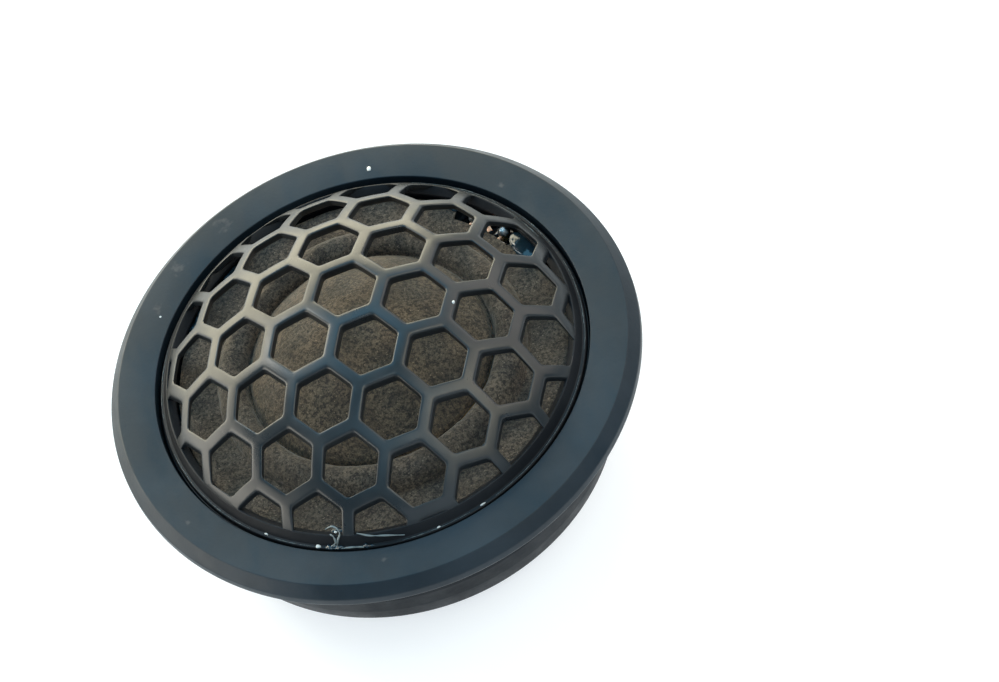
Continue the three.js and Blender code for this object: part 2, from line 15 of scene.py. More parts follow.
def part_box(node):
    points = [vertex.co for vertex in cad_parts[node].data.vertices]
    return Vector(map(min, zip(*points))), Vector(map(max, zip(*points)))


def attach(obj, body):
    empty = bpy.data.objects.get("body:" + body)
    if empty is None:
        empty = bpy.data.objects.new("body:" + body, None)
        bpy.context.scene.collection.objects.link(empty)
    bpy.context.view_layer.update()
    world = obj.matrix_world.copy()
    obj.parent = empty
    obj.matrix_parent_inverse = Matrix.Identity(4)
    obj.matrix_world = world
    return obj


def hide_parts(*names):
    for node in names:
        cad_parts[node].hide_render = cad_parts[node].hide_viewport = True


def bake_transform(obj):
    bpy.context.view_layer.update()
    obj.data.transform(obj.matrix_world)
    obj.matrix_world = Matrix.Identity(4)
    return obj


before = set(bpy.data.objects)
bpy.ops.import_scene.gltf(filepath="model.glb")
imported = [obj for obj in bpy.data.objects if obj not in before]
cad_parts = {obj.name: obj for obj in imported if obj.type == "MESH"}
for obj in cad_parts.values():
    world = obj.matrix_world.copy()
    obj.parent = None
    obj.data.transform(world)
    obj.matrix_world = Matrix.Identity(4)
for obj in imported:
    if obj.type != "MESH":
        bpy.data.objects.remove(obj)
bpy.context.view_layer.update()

MM = 0.001
FINE = 192  # sides of a large turned piece
FINEST = 256  # sides of the flange, the can and the grille's border
SMALL = 48  # sides of a small turned piece
ON_AXIS = 1e-6  # a point nearer the sound axis than this lies on it


# ---- sizes read from the frame
def heights(node):
    """Lowest and highest z of a node."""
    low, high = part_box(node)
    return low.z / MM, high.z / MM


def outer_r(node):
    """Outer radius of a piece that is turned about the sound axis."""
    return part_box(node)[1].x / MM


def middle(node):
    """Centre of a node's box."""
    low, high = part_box(node)
    return (low + high) / (2 * MM)


def azimuth_of(node):
    return degrees(atan2(middle(node).y, middle(node).x))


NECK_END_Z, FACE_Z = heights("front_flange")
FLANGE_R = outer_r("front_flange")


# ---- mesh helpers
def new_object(name, bm, look, sharp=35):
    """Turns a bmesh in millimetres into an object with smooth faces and sharp creases."""
    bmesh.ops.scale(bm, vec=(MM, MM, MM), verts=bm.verts)
    bmesh.ops.recalc_face_normals(bm, faces=bm.faces)
    mesh = bpy.data.meshes.new(name)
    bm.to_mesh(mesh)
    bm.free()
    mesh.polygons.foreach_set("use_smooth", [True] * len(mesh.polygons))
    mesh.set_sharp_from_angle(angle=radians(sharp))
    mesh.materials.append(look)
    obj = bpy.data.objects.new(name, mesh)
    bpy.context.scene.collection.objects.link(obj)
    return obj


def rounded(outline, steps=5):
    """Points of an outline of (r, z) or (r, z, corner radius), with its corners rounded."""
    points = []
    count = len(outline)
    for i, corner in enumerate(outline):
        here = Vector(corner[:2])
        radius = corner[2] if len(corner) > 2 else 0
        if radius <= 0:
            points.append(here)
            continue
        before = Vector(outline[i - 1][:2]) - here
        after = Vector(outline[(i + 1) % count][:2]) - here
        half = before.angle(after) / 2
        reach = min(radius / tan(half), before.length * 0.48, after.length * 0.48)
        start = here + before.normalized() * reach
        end = here + after.normalized() * reach
        centre = here + (before.normalized() + after.normalized()).normalized() * (reach / cos(half))
        for k in range(steps + 1):
            chord = start.lerp(end, k / steps) - centre
            points.append(centre + chord.normalized() * (start - centre).length)
    return points


def circle(sides):
    return [2 * pi * k / sides for k in range(sides)]


def skin(bm, rings, joined=False, capped=False):
    """Joins each ring of vertices to the next one, and the last to the first if joined."""
    pairs = list(zip(rings, rings[1:]))
    if joined:
        pairs.append((rings[-1], rings[0]))
    for lower, upper in pairs:
        for k in range(len(lower)):
            n = (k + 1) % len(lower)
            corners = list(dict.fromkeys([lower[k], lower[n], upper[n], upper[k]]))
            if len(corners) > 2:
                bm.faces.new(corners)
    if capped:
        bm.faces.new(rings[0][::-1])
        bm.faces.new(rings[-1])


def lathe_bm(points, segments=FINE):
    """A solid of revolution about Z. A profile that touches the axis isn't joined end to end."""
    bm = bmesh.new()
    rings = []
    for r, z in points:
        if r < ON_AXIS:
            rings.append([bm.verts.new((0, 0, z))] * segments)
        else:
            rings.append([bm.verts.new((r * cos(a), r * sin(a), z)) for a in circle(segments)])
    skin(bm, rings, joined=min(r for r, z in points) > ON_AXIS)
    return bm


def turned_bm(outline, segments=FINE):
    return lathe_bm(rounded(outline), segments)


def ring_bm(inner, outer, low, high, corners, segments=FINE):
    """A plain ring; corners holds the radii of low inner, low outer, high outer and high inner."""
    spots = ((inner, low), (outer, low), (outer, high), (inner, high))
    return turned_bm([(*spot, corner) for spot, corner in zip(spots, corners)], segments)


def disc_bm(radius, low, high, low_corner=0, high_corner=0, segments=FINE):
    return turned_bm([(0, low), (radius, low, low_corner), (radius, high, high_corner), (0, high)], segments)


def move_bm(bm, spot):
    bmesh.ops.translate(bm, vec=Vector(spot), verts=bm.verts)
    return bm


def polar(radius, azimuth, z=0.0):
    """A place by its distance from the sound axis, its angle from +X towards +Y, and its height."""
    a = radians(azimuth)
    return Vector((radius * cos(a), radius * sin(a), z))


def box_bm(size, centre, azimuth=0.0, bevel=0.0, segments=3):
    """A box, turned to an azimuth, with bevelled edges."""
    bm = bmesh.new()
    bmesh.ops.create_cube(bm, size=1.0)
    bmesh.ops.scale(bm, vec=size, verts=bm.verts)
    if bevel:
        bmesh.ops.bevel(bm, geom=list(bm.edges), offset=bevel, segments=segments, affect="EDGES", profile=0.5)
    bmesh.ops.rotate(bm, matrix=Matrix.Rotation(radians(azimuth), 3, "Z"), verts=bm.verts)
    return move_bm(bm, centre)


def cylinder_bm(radius, bottom, top, centre):
    """A plain upright cylinder."""
    return move_bm(disc_bm(radius, bottom, top, segments=SMALL), (centre.x, centre.y, 0))


def tube_bm(points, radius, sides):
    """A round tube with closed ends; its radius is a number or a function of the way along, 0 to 1."""
    bm = bmesh.new()
    rings = []
    normal = Vector((0, 0, 1))
    last = len(points) - 1
    for i, spot in enumerate(points):
        ahead = points[min(i + 1, last)] - points[max(i - 1, 0)]
        ahead.normalize()
        normal = (normal - ahead * normal.dot(ahead)).normalized()
        side = ahead.cross(normal)
        r = radius(i / last) if callable(radius) else radius
        rings.append([
            bm.verts.new(spot + (normal * cos(a) + side * sin(a)) * r) for a in circle(sides)
        ])
    skin(bm, rings, capped=True)
    return bm


def smooth_path(points, per_span):
    """Points along a Catmull-Rom curve through the given ones."""
    path = []
    ends = [points[0] * 2 - points[1], *points, points[-1] * 2 - points[-2]]
    for p0, p1, p2, p3 in zip(ends, ends[1:], ends[2:], ends[3:]):
        for k in range(per_span):
            t = k / per_span
            path.append(0.5 * (
                2 * p1 + (p2 - p0) * t + (2 * p0 - 5 * p1 + 4 * p2 - p3) * t ** 2
                + (3 * p1 - p0 - 3 * p2 + p3) * t ** 3))
    path.append(points[-1])
    return path


def cut(obj, shapes):
    """Subtracts closed bmeshes from obj."""
    tools = [new_object("tool", shape, obj.data.materials[0]) for shape in shapes]
    for tool in tools:
        modifier = obj.modifiers.new("cut", "BOOLEAN")
        modifier.operation = "DIFFERENCE"
        modifier.solver = "EXACT"
        modifier.object = tool
    graph = bpy.context.evaluated_depsgraph_get()
    graph.update()
    mesh = bpy.data.meshes.new_from_object(obj.evaluated_get(graph))
    obj.modifiers.clear()
    obj.data = mesh
    for tool in tools:
        bpy.data.objects.remove(tool)


def merge_bm(*parts):
    """One bmesh that holds several."""
    whole = bmesh.new()
    for part in parts:
        mesh = bpy.data.meshes.new("part")
        part.to_mesh(mesh)
        part.free()
        whole.from_mesh(mesh)
        bpy.data.meshes.remove(mesh)
    return whole


def roughen(bm, depth, wavelength, seed=0.0):
    """Moves each vertex along its normal by smooth noise."""
    bm.normal_update()
    offset = Vector((seed, seed * 0.7, seed * 0.3))
    moves = [
        vert.normal * depth * turbulence(vert.co / wavelength + offset, 3, False, amplitude_scale=0.5,
                                         frequency_scale=2.1)
        for vert in bm.verts
    ]
    for vert, move in zip(bm.verts, moves):
        vert.co -= move
    return bm


def rings_added(bm, count):
    """Splits the flat faces that meet on the axis into many rings, so that noise can shape them."""
    spokes = [edge for edge in bm.edges if min(v.co.xy.length for v in edge.verts) < ON_AXIS]
    bmesh.ops.subdivide_edges(bm, edges=spokes, cuts=count)
    return bm


def place(obj, slot, *nodes, body="housing"):
    """Fixes a piece to a body, in place of CAD nodes. The slot is not used."""
    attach(obj, body)
    if nodes:
        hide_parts(*nodes)
    return obj


def piece(name, bm, look, slot, *nodes, sharp=35, tools=(), body="housing"):
    """A placed piece with tools cut out of it."""
    obj = new_object(name, bm, look, sharp)
    if tools:
        cut(obj, tools)
    return place(obj, slot, *nodes, body=body)


# ---- material helpers
def material(name):
    mat = bpy.data.materials.new(name)
    mat.use_nodes = True
    return mat, mat.node_tree, mat.node_tree.nodes["Principled BSDF"]


def feed(tree, socket, value):
    """Links an output to a socket, or sets the socket to a number, a vector or an (r, g, b) colour."""
    if hasattr(value, "is_output"):
        tree.links.new(value, socket)
    elif socket.type == "RGBA":
        socket.default_value = (*value, 1)
    else:
        socket.default_value = value


def fill(tree, made, **inputs):
    """Feeds a node's inputs, which are named with _ for a space."""
    for key, value in inputs.items():
        feed(tree, made.inputs[key.replace("_", " ")], value)
    return made


def node(tree, kind, **inputs):
    return fill(tree, tree.nodes.new(kind), **inputs)


def coordinates(tree):
    return tree.nodes.new("ShaderNodeTexCoord").outputs["Object"]


def noise(tree, scale, detail=4.0, roughness=0.55, stretch=None):
    """Noise on object coordinates, with its features 1 / scale metres across."""
    source = coordinates(tree)
    if stretch:
        source = node(tree, "ShaderNodeMapping", Vector=source, Scale=stretch).outputs["Vector"]
    texture = node(tree, "ShaderNodeTexNoise", Vector=source, Scale=scale, Detail=detail, Roughness=roughness)
    return texture.outputs["Fac"]


def ramp(tree, value, start, end, first=0.0, last=1.0, smooth=True):
    """A grey level that goes from first to last while value goes from start to end."""
    made = node(tree, "ShaderNodeValToRGB", Fac=value)
    made.color_ramp.interpolation = "EASE" if smooth else "LINEAR"
    for element, position, level in zip(made.color_ramp.elements, (start, end), (first, last)):
        element.position = position
        element.color = (level, level, level, 1)
    return made.outputs["Color"]


def mix(tree, factor, first, second):
    made = tree.nodes.new("ShaderNodeMix")
    made.data_type = "RGBA"
    for socket, value in zip((0, 6, 7), (factor, first, second)):
        feed(tree, made.inputs[socket], value)
    return made.outputs[2]


def maths(tree, operation, first, second=0.0):
    made = tree.nodes.new("ShaderNodeMath")
    made.operation = operation
    feed(tree, made.inputs[0], first)
    feed(tree, made.inputs[1], second)
    return made.outputs[0]


def bump(tree, shader, height, distance, under=None):
    """Bumps the shader's normal by a height map, on top of the normal under it."""
    made = node(tree, "ShaderNodeBump", Strength=1.0, Distance=distance, Height=height)
    if under is not None:
        tree.links.new(under, made.inputs["Normal"])
    tree.links.new(made.outputs["Normal"], shader.inputs["Normal"])
    return made.outputs["Normal"]


def cylinder_coordinates(tree):
    """Angle about the sound axis, distance from it, and height."""
    x, y, z = node(tree, "ShaderNodeSeparateXYZ", Vector=coordinates(tree)).outputs
    squares = maths(tree, "ADD", maths(tree, "MULTIPLY", x, x), maths(tree, "MULTIPLY", y, y))
    return maths(tree, "ARCTAN2", y, x), maths(tree, "SQRT", squares), z


def dust(tree, amount):
    """A mask with a few small specks; amount is the share of cells that hold one."""
    cells = node(tree, "ShaderNodeTexVoronoi", Vector=coordinates(tree), Scale=900.0)
    draw = node(tree, "ShaderNodeSeparateColor", Color=cells.outputs["Color"]).outputs[0]
    near = maths(tree, "LESS_THAN", cells.outputs["Distance"], 0.16)
    return maths(tree, "MULTIPLY", maths(tree, "LESS_THAN", draw, amount), near)


def smudge_mask(tree, spots):
    """A mask with a faint ragged smudge at each (x, y, z, radius)."""
    ragged = noise(tree, 1300.0, 3.0, 0.5)
    total = 0.0
    for x, y, z, radius in spots:
        distance = tree.nodes.new("ShaderNodeVectorMath")
        distance.operation = "DISTANCE"
        feed(tree, distance.inputs[0], coordinates(tree))
        feed(tree, distance.inputs[1], (x, y, z))
        fade = maths(tree, "MULTIPLY", distance.outputs["Value"], 0.3 / radius)
        faint = ramp(tree, maths(tree, "SUBTRACT", ragged, fade), 0.24, 0.62, last=0.4)
        total = maths(tree, "MAXIMUM", faint, total)
    return total


def shade(colour, factor, lift=0.0):
    """A colour made paler or darker."""
    return tuple(c * factor + lift for c in colour)


# ---- materials
DUST_GREY = (0.42, 0.43, 0.44)
LINT_GREY = (0.085, 0.078, 0.078)


def satin_plastic(name, colour, rough, grain=2600.0, grain_depth=0.000012, specks=0.0015, gloss=0.5,
                  smudges=()):
    """Moulded plastic with a fine spark-eroded grain, faint handling marks and a little dust."""
    mat, tree, shader = material(name)
    tint = mix(tree, ramp(tree, noise(tree, 90.0, 5.0, 0.6), 0.35, 0.7), colour, shade(colour, 1.35, 0.004))
    if smudges:
        tint = mix(tree, smudge_mask(tree, smudges), tint, LINT_GREY)
    smear = noise(tree, 240.0, 6.0, 0.7, (1.0, 0.35, 1.0))
    fill(tree, shader, Base_Color=mix(tree, dust(tree, specks), tint, DUST_GREY),
         Roughness=ramp(tree, smear, 0.3, 0.7, rough - 0.07, rough + 0.08), Specular_IOR_Level=gloss)
    bump(tree, shader, noise(tree, grain, 3.0, 0.5), grain_depth)
    return mat


def textile(name, dark, pale):
    """Soft doped cloth: a fine speckled nap with paler fibre ends and uneven soaking."""
    mat, tree, shader = material(name)
    nap = noise(tree, 5600.0, 3.0, 0.7)
    tufts = noise(tree, 2400.0, 3.0, 0.6)
    body = maths(tree, "ADD", maths(tree, "MULTIPLY", nap, 0.5), maths(tree, "MULTIPLY", tufts, 0.5))
    colour = mix(tree, ramp(tree, body, 0.43, 0.585, smooth=False), dark, pale)
    soaked = mix(tree, ramp(tree, noise(tree, 330.0, 4.0, 0.55), 0.4, 0.68, last=0.5), colour, dark)
    ends = ramp(tree, noise(tree, 5200.0, 2.0, 0.5), 0.64, 0.72, last=0.8)
    fill(tree, shader, Base_Color=mix(tree, ends, soaked, shade(pale, 1.9)), Roughness=0.85,
         Specular_IOR_Level=0.35, Sheen_Weight=0.18, Sheen_Roughness=0.45, Sheen_Tint=(0.95, 0.90, 0.80))
    bump(tree, shader, nap, 0.00005, under=bump(tree, shader, tufts, 0.00010))
    return mat


def foam(name, colour):
    """Open-cell foam: a matt body whose pores are painted darker, as painted shade in their hollows."""
    mat, tree, shader = material(name)
    cells = node(tree, "ShaderNodeTexVoronoi", Vector=coordinates(tree), Scale=2200.0)
    pore_depth_and_shade = ramp(tree, cells.outputs["Distance"], 0.1, 0.45)
    # Darker at the pores: painted shade in the pore hollows.
    fill(tree, shader, Base_Color=mix(tree, pore_depth_and_shade, shade(colour, 0.35), colour), Roughness=0.95)
    bump(tree, shader, pore_depth_and_shade, 0.0001)
    return mat


def felt(name, colour):
    """Pressed wool felt: matted fibres in every direction."""
    mat, tree, shader = material(name)
    fibres = noise(tree, 1900.0, 8.0, 0.8, (1.0, 0.4, 1.0))
    fluff = noise(tree, 500.0, 5.0, 0.6)
    fill(tree, shader, Base_Color=mix(tree, ramp(tree, fibres, 0.3, 0.7), shade(colour, 0.55), colour),
         Roughness=0.97, Sheen_Weight=0.4)
    bump(tree, shader, fibres, 0.00008, under=bump(tree, shader, fluff, 0.0002))
    return mat


def rubber(name, colour):
    """Moulded rubber with a pale bloom in patches."""
    mat, tree, shader = material(name)
    bloom = noise(tree, 400.0, 6.0, 0.65)
    fill(tree, shader, Base_Color=mix(tree, ramp(tree, bloom, 0.4, 0.75), colour, shade(colour, 1.6, 0.004)),
         Roughness=ramp(tree, bloom, 0.3, 0.7, 0.5, 0.7), Specular_IOR_Level=0.22)
    bump(tree, shader, noise(tree, 3000.0, 4.0, 0.6), 0.00001)
    return mat


def turned_metal(name, colour, rough, tarnish=0.5):
    """Lathe-turned metal: fine rings about the sound axis, with a patchy bloom."""
    mat, tree, shader = material(name)
    angle, radius, height = cylinder_coordinates(tree)
    joined = node(tree, "ShaderNodeCombineXYZ", X=maths(tree, "MULTIPLY", radius, 9000.0),
                  Y=maths(tree, "MULTIPLY", angle, 0.8), Z=maths(tree, "MULTIPLY", height, 9000.0))
    lines = node(tree, "ShaderNodeTexNoise", Vector=joined.outputs[0], Scale=1.0, Detail=3.0).outputs["Fac"]
    patches = ramp(tree, noise(tree, 170.0, 6.0, 0.65), 0.4, 0.75, last=tarnish)
    fill(tree, shader, Base_Color=mix(tree, patches, colour, shade(colour, 0.55)),
         Roughness=ramp(tree, lines, 0.3, 0.7, rough - 0.08, rough + 0.15), Metallic=1.0)
    bump(tree, shader, lines, 0.000004)
    return mat


def bright_metal(name, colour, rough):
    """Plated or soldered metal with slight waviness and a stained film."""
    mat, tree, shader = material(name)
    stain = ramp(tree, noise(tree, 900.0, 5.0, 0.65), 0.42, 0.72)
    fill(tree, shader, Base_Color=mix(tree, stain, colour, shade(colour, 0.6)),
         Roughness=ramp(tree, noise(tree, 1300.0), 0.3, 0.7, rough, rough + 0.18), Metallic=1.0)
    bump(tree, shader, noise(tree, 1400.0, 3.0), 0.00003)
    return mat


def film(name, colour):
    """Glossy polyimide film with uneven colour."""
    mat, tree, shader = material(name)
    flow = noise(tree, 300.0, 4.0, 0.5, (1.0, 1.0, 3.0))
    fill(tree, shader, Base_Color=mix(tree, flow, colour, shade(colour, 0.6)),
         Roughness=ramp(tree, flow, 0.3, 0.7, 0.18, 0.3), Coat_Weight=0.5)
    bump(tree, shader, noise(tree, 700.0, 3.0), 0.00001)
    return mat


def insulation(name, colour):
    """Extruded PVC wire covering with a little chalking."""
    mat, tree, shader = material(name)
    chalk = ramp(tree, noise(tree, 1100.0, 5.0, 0.7), 0.5, 0.8)
    fill(tree, shader, Base_Color=mix(tree, chalk, colour, shade(colour, 1.4, 0.03)),
         Roughness=ramp(tree, noise(tree, 2000.0), 0.3, 0.7, 0.35, 0.5))
    bump(tree, shader, noise(tree, 2500.0, 3.0), 0.000012)
    return mat


# lint on the flange's face: (distance from the axis, azimuth, size)
LINT = [(25.4, 112, 1.1), (25.6, 127, 1.0), (25.2, 139, 0.9), (24.4, 256, 0.6), (25.6, 204, 0.5),
        (24.2, 38, 0.6)]
FLANGE_BLACK = satin_plastic("flange_satin_black", (0.005, 0.0105, 0.0165), 0.42, gloss=0.23, smudges=[
    (*(polar(r, azimuth, FACE_Z) * MM), size * MM) for r, azimuth, size in LINT])
CAN_BLACK = satin_plastic("can_satin_black", (0.005, 0.0075, 0.0105), 0.48, 1900.0, gloss=0.11)
GRILLE_BLACK = satin_plastic("grille_satin_black", (0.006, 0.008, 0.010), 0.33, 3000.0, 0.000006, gloss=0.42)
# The grille's border uses the grille plastic made duller and darker. This is a dull finish plus painted shade
# on the border wall and ledge.
BORDER_DULL_SHADED_BLACK = satin_plastic("border_dull_painted_shade_black", (0.005, 0.006, 0.008), 0.45, 2400.0, 0.00002, gloss=0.14)
CARRIER_BLACK = satin_plastic("carrier_gloss_black", (0.008, 0.009, 0.011), 0.2, 900.0, 0.00001)
DOME_CLOTH = textile("dome_cloth", (0.017, 0.013, 0.010), (0.118, 0.088, 0.058))
SURROUND_CLOTH = textile("surround_cloth", (0.015, 0.0125, 0.011), (0.104, 0.083, 0.063))
BLACK_FOAM = foam("black_foam", (0.05, 0.05, 0.048))
GREY_FELT = felt("grey_felt", (0.36, 0.34, 0.32))
BLACK_RUBBER = rubber("black_rubber", (0.008, 0.0085, 0.010))
ZINC_STEEL = turned_metal("zinc_steel", (0.52, 0.54, 0.56), 0.32)
SCREW_STEEL = bright_metal("screw_steel", (0.5, 0.51, 0.53), 0.25)
NICKEL = turned_metal("nickel_plate", (0.68, 0.66, 0.62), 0.18, tarnish=0.3)
COPPER = turned_metal("turned_copper", (0.75, 0.36, 0.22), 0.25)
TINSEL = bright_metal("tinsel_copper", (0.92, 0.60, 0.42), 0.45)
BRASS = bright_metal("pin_brass", (0.75, 0.6, 0.32), 0.22)
SOLDER = bright_metal("solder", (0.42, 0.42, 0.42), 0.34)
GLUE_BLACK = satin_plastic("set_glue", (0.006, 0.018, 0.028), 0.14, 500.0, 0.00002, specks=0.0)
# Pale glossy glue. On the beads along the grille's ledge and border top, its pale colour also paints the
# border's broken edge highlight.
CLEAR_GLUE_AND_HIGHLIGHT = satin_plastic("clear_glue_and_highlight", (0.11, 0.13, 0.135), 0.24, 700.0, 0.00002, specks=0.0)
PALE_CRUMB = satin_plastic("pale_crumb", (0.40, 0.42, 0.42), 0.75, 1500.0, 0.00003, specks=0.0)
AMBER_FILM = film("amber_film", (0.55, 0.3, 0.06))
RED_PVC = insulation("red_pvc", (0.42, 0.03, 0.025))
BLACK_PVC = insulation("black_pvc", (0.02, 0.02, 0.022))

# ---- front housing
OPENING_R = 22.95  # opening that the grille drops into
SHELF_R = 18.3  # shelf inside the neck that the diaphragm carrier screws to
SHELF_TOP_Z = FACE_Z - 2.6
SHELF_BOTTOM_Z = FACE_Z - 5.0
FLANGE_UNDER_Z = FACE_Z - 2.4
NECK_R = 24.0
NECK_BORE_R = 22.6
BAND_R = 24.45  # raised band behind the flange
BAND_TOP_Z = FACE_Z - 4.4
TERMINAL_AZ = azimuth_of("terminal_block")
TERMINAL_R = 20.6
TERMINAL_WIDE = 7.0
TERMINAL_DEEP = 2.4  # outwards
TERMINAL_GAP = 0.4  # added to the width of the openings that the terminals pass
BEVEL_WIDE = 1.05  # of the flange's edge
BEVEL_HIGH = 1.25
SCREWS = ("carrier_screw_1", "carrier_screw_2", "carrier_screw_3")
PILOT_R = 0.9
SEAL_BORE_R = 23.0


def at_terminal(outward, sideways, z):
    """A place given outwards and sideways of the terminal block's azimuth."""
    return Matrix.Rotation(radians(TERMINAL_AZ), 3, "Z") @ Vector((outward, sideways, z))


def terminal_opening(deep, radius, low, high):
    """A box that opens a wall from low to high for the terminals."""
    size = (deep, TERMINAL_WIDE + TERMINAL_GAP, high - low + 2)
    return box_bm(size, at_terminal(radius, 0, (low + high) / 2), TERMINAL_AZ)


def front_flange():
    bm = turned_bm([
        (SHELF_R, SHELF_BOTTOM_Z, 0.15), (NECK_BORE_R, SHELF_BOTTOM_Z, 0.3), (NECK_BORE_R, NECK_END_Z, 0.15),
        (BAND_R, NECK_END_Z, 0.3), (BAND_R, BAND_TOP_Z, 0.22), (NECK_R, BAND_TOP_Z, 0.12),
        (NECK_R, FLANGE_UNDER_Z, 0.35), (FLANGE_R, FLANGE_UNDER_Z, 0.4),
        (FLANGE_R, FACE_Z - BEVEL_HIGH, 0.35), (FLANGE_R - BEVEL_WIDE, FACE_Z, 0.16),
        (OPENING_R, FACE_Z, 0.12), (OPENING_R, SHELF_TOP_Z, 0.3), (SHELF_R, SHELF_TOP_Z, 0.15),
    ], FINEST)
    tools = [terminal_opening(TERMINAL_DEEP + TERMINAL_GAP, TERMINAL_R, SHELF_BOTTOM_Z, SHELF_TOP_Z)]
    tools += [cylinder_bm(PILOT_R, SHELF_BOTTOM_Z - 1, SHELF_TOP_Z - 0.6, middle(screw)) for screw in SCREWS]
    piece("front_flange_shell", bm, FLANGE_BLACK, "flange_plastic", "front_flange", tools=tools)


def neck_seal():
    bm = ring_bm(SEAL_BORE_R, outer_r("neck_seal"), *heights("neck_seal"), (0.1, 0.18, 0.18, 0.1))
    piece("neck_seal_ring", bm, BLACK_RUBBER, "rubber", "neck_seal")


# ---- rear can
CAN_FRONT_Z = heights("rear_can")[1]
CAN_REAR_Z = 3.1
CAN_WALL = 1.3
CAN_R = outer_r("rear_can")
CAN_REAR_R = 22.9
BOSS_R = 16.9
WELL_R = 15.5  # well that the motor stands in
GLAND_AZ = azimuth_of("cable_gland")
GLAND_R = 1.5  # where the gland passes the can
GLAND_LIP_R = 1.9
GLAND_BORE_R = 0.8
MARK_R = 1.1  # of the ejector marks under the boss
MARK_RING_R = 11.5
MARK_DEEP = 0.06
GATE_BORE_R = 0.55  # groove of the moulding gate, in the middle of the boss
GATE_R = 0.95
GATE_DEEP = 0.12
FOAM_INNER_R = 15.75
FOAM_OUTER_R = 18.2


def rear_can():
    floor = CAN_REAR_Z + CAN_WALL
    bm = turned_bm([
        (0, 0), (BOSS_R, 0, 0.6), (BOSS_R, CAN_REAR_Z, 0.5), (CAN_REAR_R - 0.2, CAN_REAR_Z, 1.6),
        (CAN_R - 0.5, CAN_REAR_Z + 3.3, 1.5), (CAN_R - 0.06, CAN_FRONT_Z - 1.7, 1.0),
        (CAN_R, CAN_FRONT_Z, 0.22), (CAN_R - CAN_WALL, CAN_FRONT_Z, 0.15),
        (CAN_REAR_R - CAN_WALL, floor, 0.8), (WELL_R, floor, 0.3), (WELL_R, CAN_WALL, 0.3), (0, CAN_WALL),
    ], FINEST)
    tools = [cylinder_bm(GLAND_R + 0.1, CAN_REAR_Z - 1, floor + 1, middle("cable_gland"))]
    tools += [
        cylinder_bm(MARK_R, -1, MARK_DEEP, polar(MARK_RING_R, GLAND_AZ + 60 + 120 * k)) for k in range(3)
    ]
    tools.append(ring_bm(GATE_BORE_R, GATE_R, -1, GATE_DEEP, (0, 0, 0.05, 0.05), SMALL))
    piece("rear_can_shell", bm, CAN_BLACK, "can_plastic", "rear_can", tools=tools)


def cable_gland():
    low, high = heights("cable_gland")
    spot = middle("cable_gland")
    can_z = CAN_REAR_Z - 0.1
    collar_z = high - 0.5
    bm = turned_bm([
        (GLAND_BORE_R, low, 0.1), (1.45, low, 0.3), (GLAND_LIP_R, low + 1.0, 0.5), (GLAND_LIP_R, can_z, 0.15),
        (GLAND_R, can_z), (GLAND_R, collar_z), (GLAND_LIP_R, collar_z, 0.1), (GLAND_LIP_R, high, 0.2),
        (GLAND_BORE_R, high, 0.1),
    ], SMALL)
    piece("rubber_gland", move_bm(bm, (spot.x, spot.y, 0)), BLACK_RUBBER, "rubber", "cable_gland")


def chamber_foam():
    bm = ring_bm(FOAM_INNER_R, FOAM_OUTER_R, *heights("chamber_foam"), (0.5, 0.6, 0.7, 0.5))
    bmesh.ops.subdivide_edges(bm, edges=bm.edges[:], cuts=1, use_grid_fill=True)
    roughen(bm, 0.16, 1.1)
    piece("chamber_foam_ring", bm, BLACK_FOAM, "foam", "chamber_foam", sharp=80)


# ---- grille
SPHERE_R = 29.0  # outside of the domed mesh
RIM_BOTTOM_Z, GRILLE_TOP_Z = heights("hex_grille")
RIM_TOP_Z = RIM_BOTTOM_Z + 1.2
RIM_R = outer_r("hex_grille")
RIM_BORE_R = 21.1
LEDGE_R = 22.5  # narrow flat ledge round the foot of the border
LEDGE_Z = FACE_Z - 0.35
WALL_R = 22.1  # foot of the border's steep wall
BORDER_R = 21.55  # top of the steep wall, on the dome
EDGE_DROP_R = 19.8  # the dome turns down faster past here
EDGE_DROP = 0.09  # times the square of the way past it
BAR_DEEP = 1.12  # scale of a bar's depth at the apex
BAR_SHALLOW = 0.78  # and at the border
BARS_END_Z = FACE_Z - 0.1  # inside the border
CELL_PITCH = 7.3  # measured along the domed surface
CELL_TURN = -30  # degrees, direction of one row of cells
CELL_OFFSET = Vector((0.4, 2.1))  # place of the cell nearest the apex
CELL_REACH = 29  # cells farther from the apex than this, along the surface, are outside the border
CELL_FILLET = 0.95  # radius of a cell's corners, in half widths of a bar
# half a bar's section from its centre line: (half width, depth below the outside)
BAR_SECTION = [
    (0, 0), (0.30, 0.005), (0.46, 0.018), (0.54, 0.038), (0.60, 0.07), (0.65, 0.115), (0.68, 0.17),
    (0.70, 0.25), (0.71, 0.60), (0.70, 0.98), (0.67, 1.10), (0.60, 1.18), (0.48, 1.22), (0.26, 1.24),
    (0, 1.24),
]
# where points lie along a cell's side, denser towards its ends
SIDE_STEPS = (0, 0.035, 0.07, 0.105, 0.3, 0.5, 0.7, 0.895, 0.93, 0.965)


def dome_z(r):
    """Height of the grille's outside."""
    return GRILLE_TOP_Z - SPHERE_R + sqrt(SPHERE_R ** 2 - r ** 2) - EDGE_DROP * max(r - EDGE_DROP_R, 0) ** 2


def grille_point(flat, depth):
    """A point of the flat pattern, laid on the dome at a depth below its outside, along the sound axis."""
    r = SPHERE_R * sin(flat.length / SPHERE_R)
    z = dome_z(r) - depth * (BAR_DEEP + (BAR_SHALLOW - BAR_DEEP) * min(r / BORDER_R, 1.0) ** 2)
    top_z = dome_z(BORDER_R)
    if z < top_z:
        r = min(r, WALL_R + (BORDER_R - WALL_R) * (z - LEDGE_Z) / (top_z - LEDGE_Z) - 0.03)
    across = flat.normalized() * r if r else flat
    return Vector((across.x, across.y, z))


def cell_centres():
    along = polar(1, CELL_TURN).xy
    across = Vector((-along.y, along.x))
    steps = range(-7, 8)
    spots = (
        CELL_OFFSET + along * (i + j / 2) * CELL_PITCH + across * j * sqrt(0.75) * CELL_PITCH
        for i in steps for j in steps
    )
    return [spot for spot in spots if spot.length < CELL_REACH]


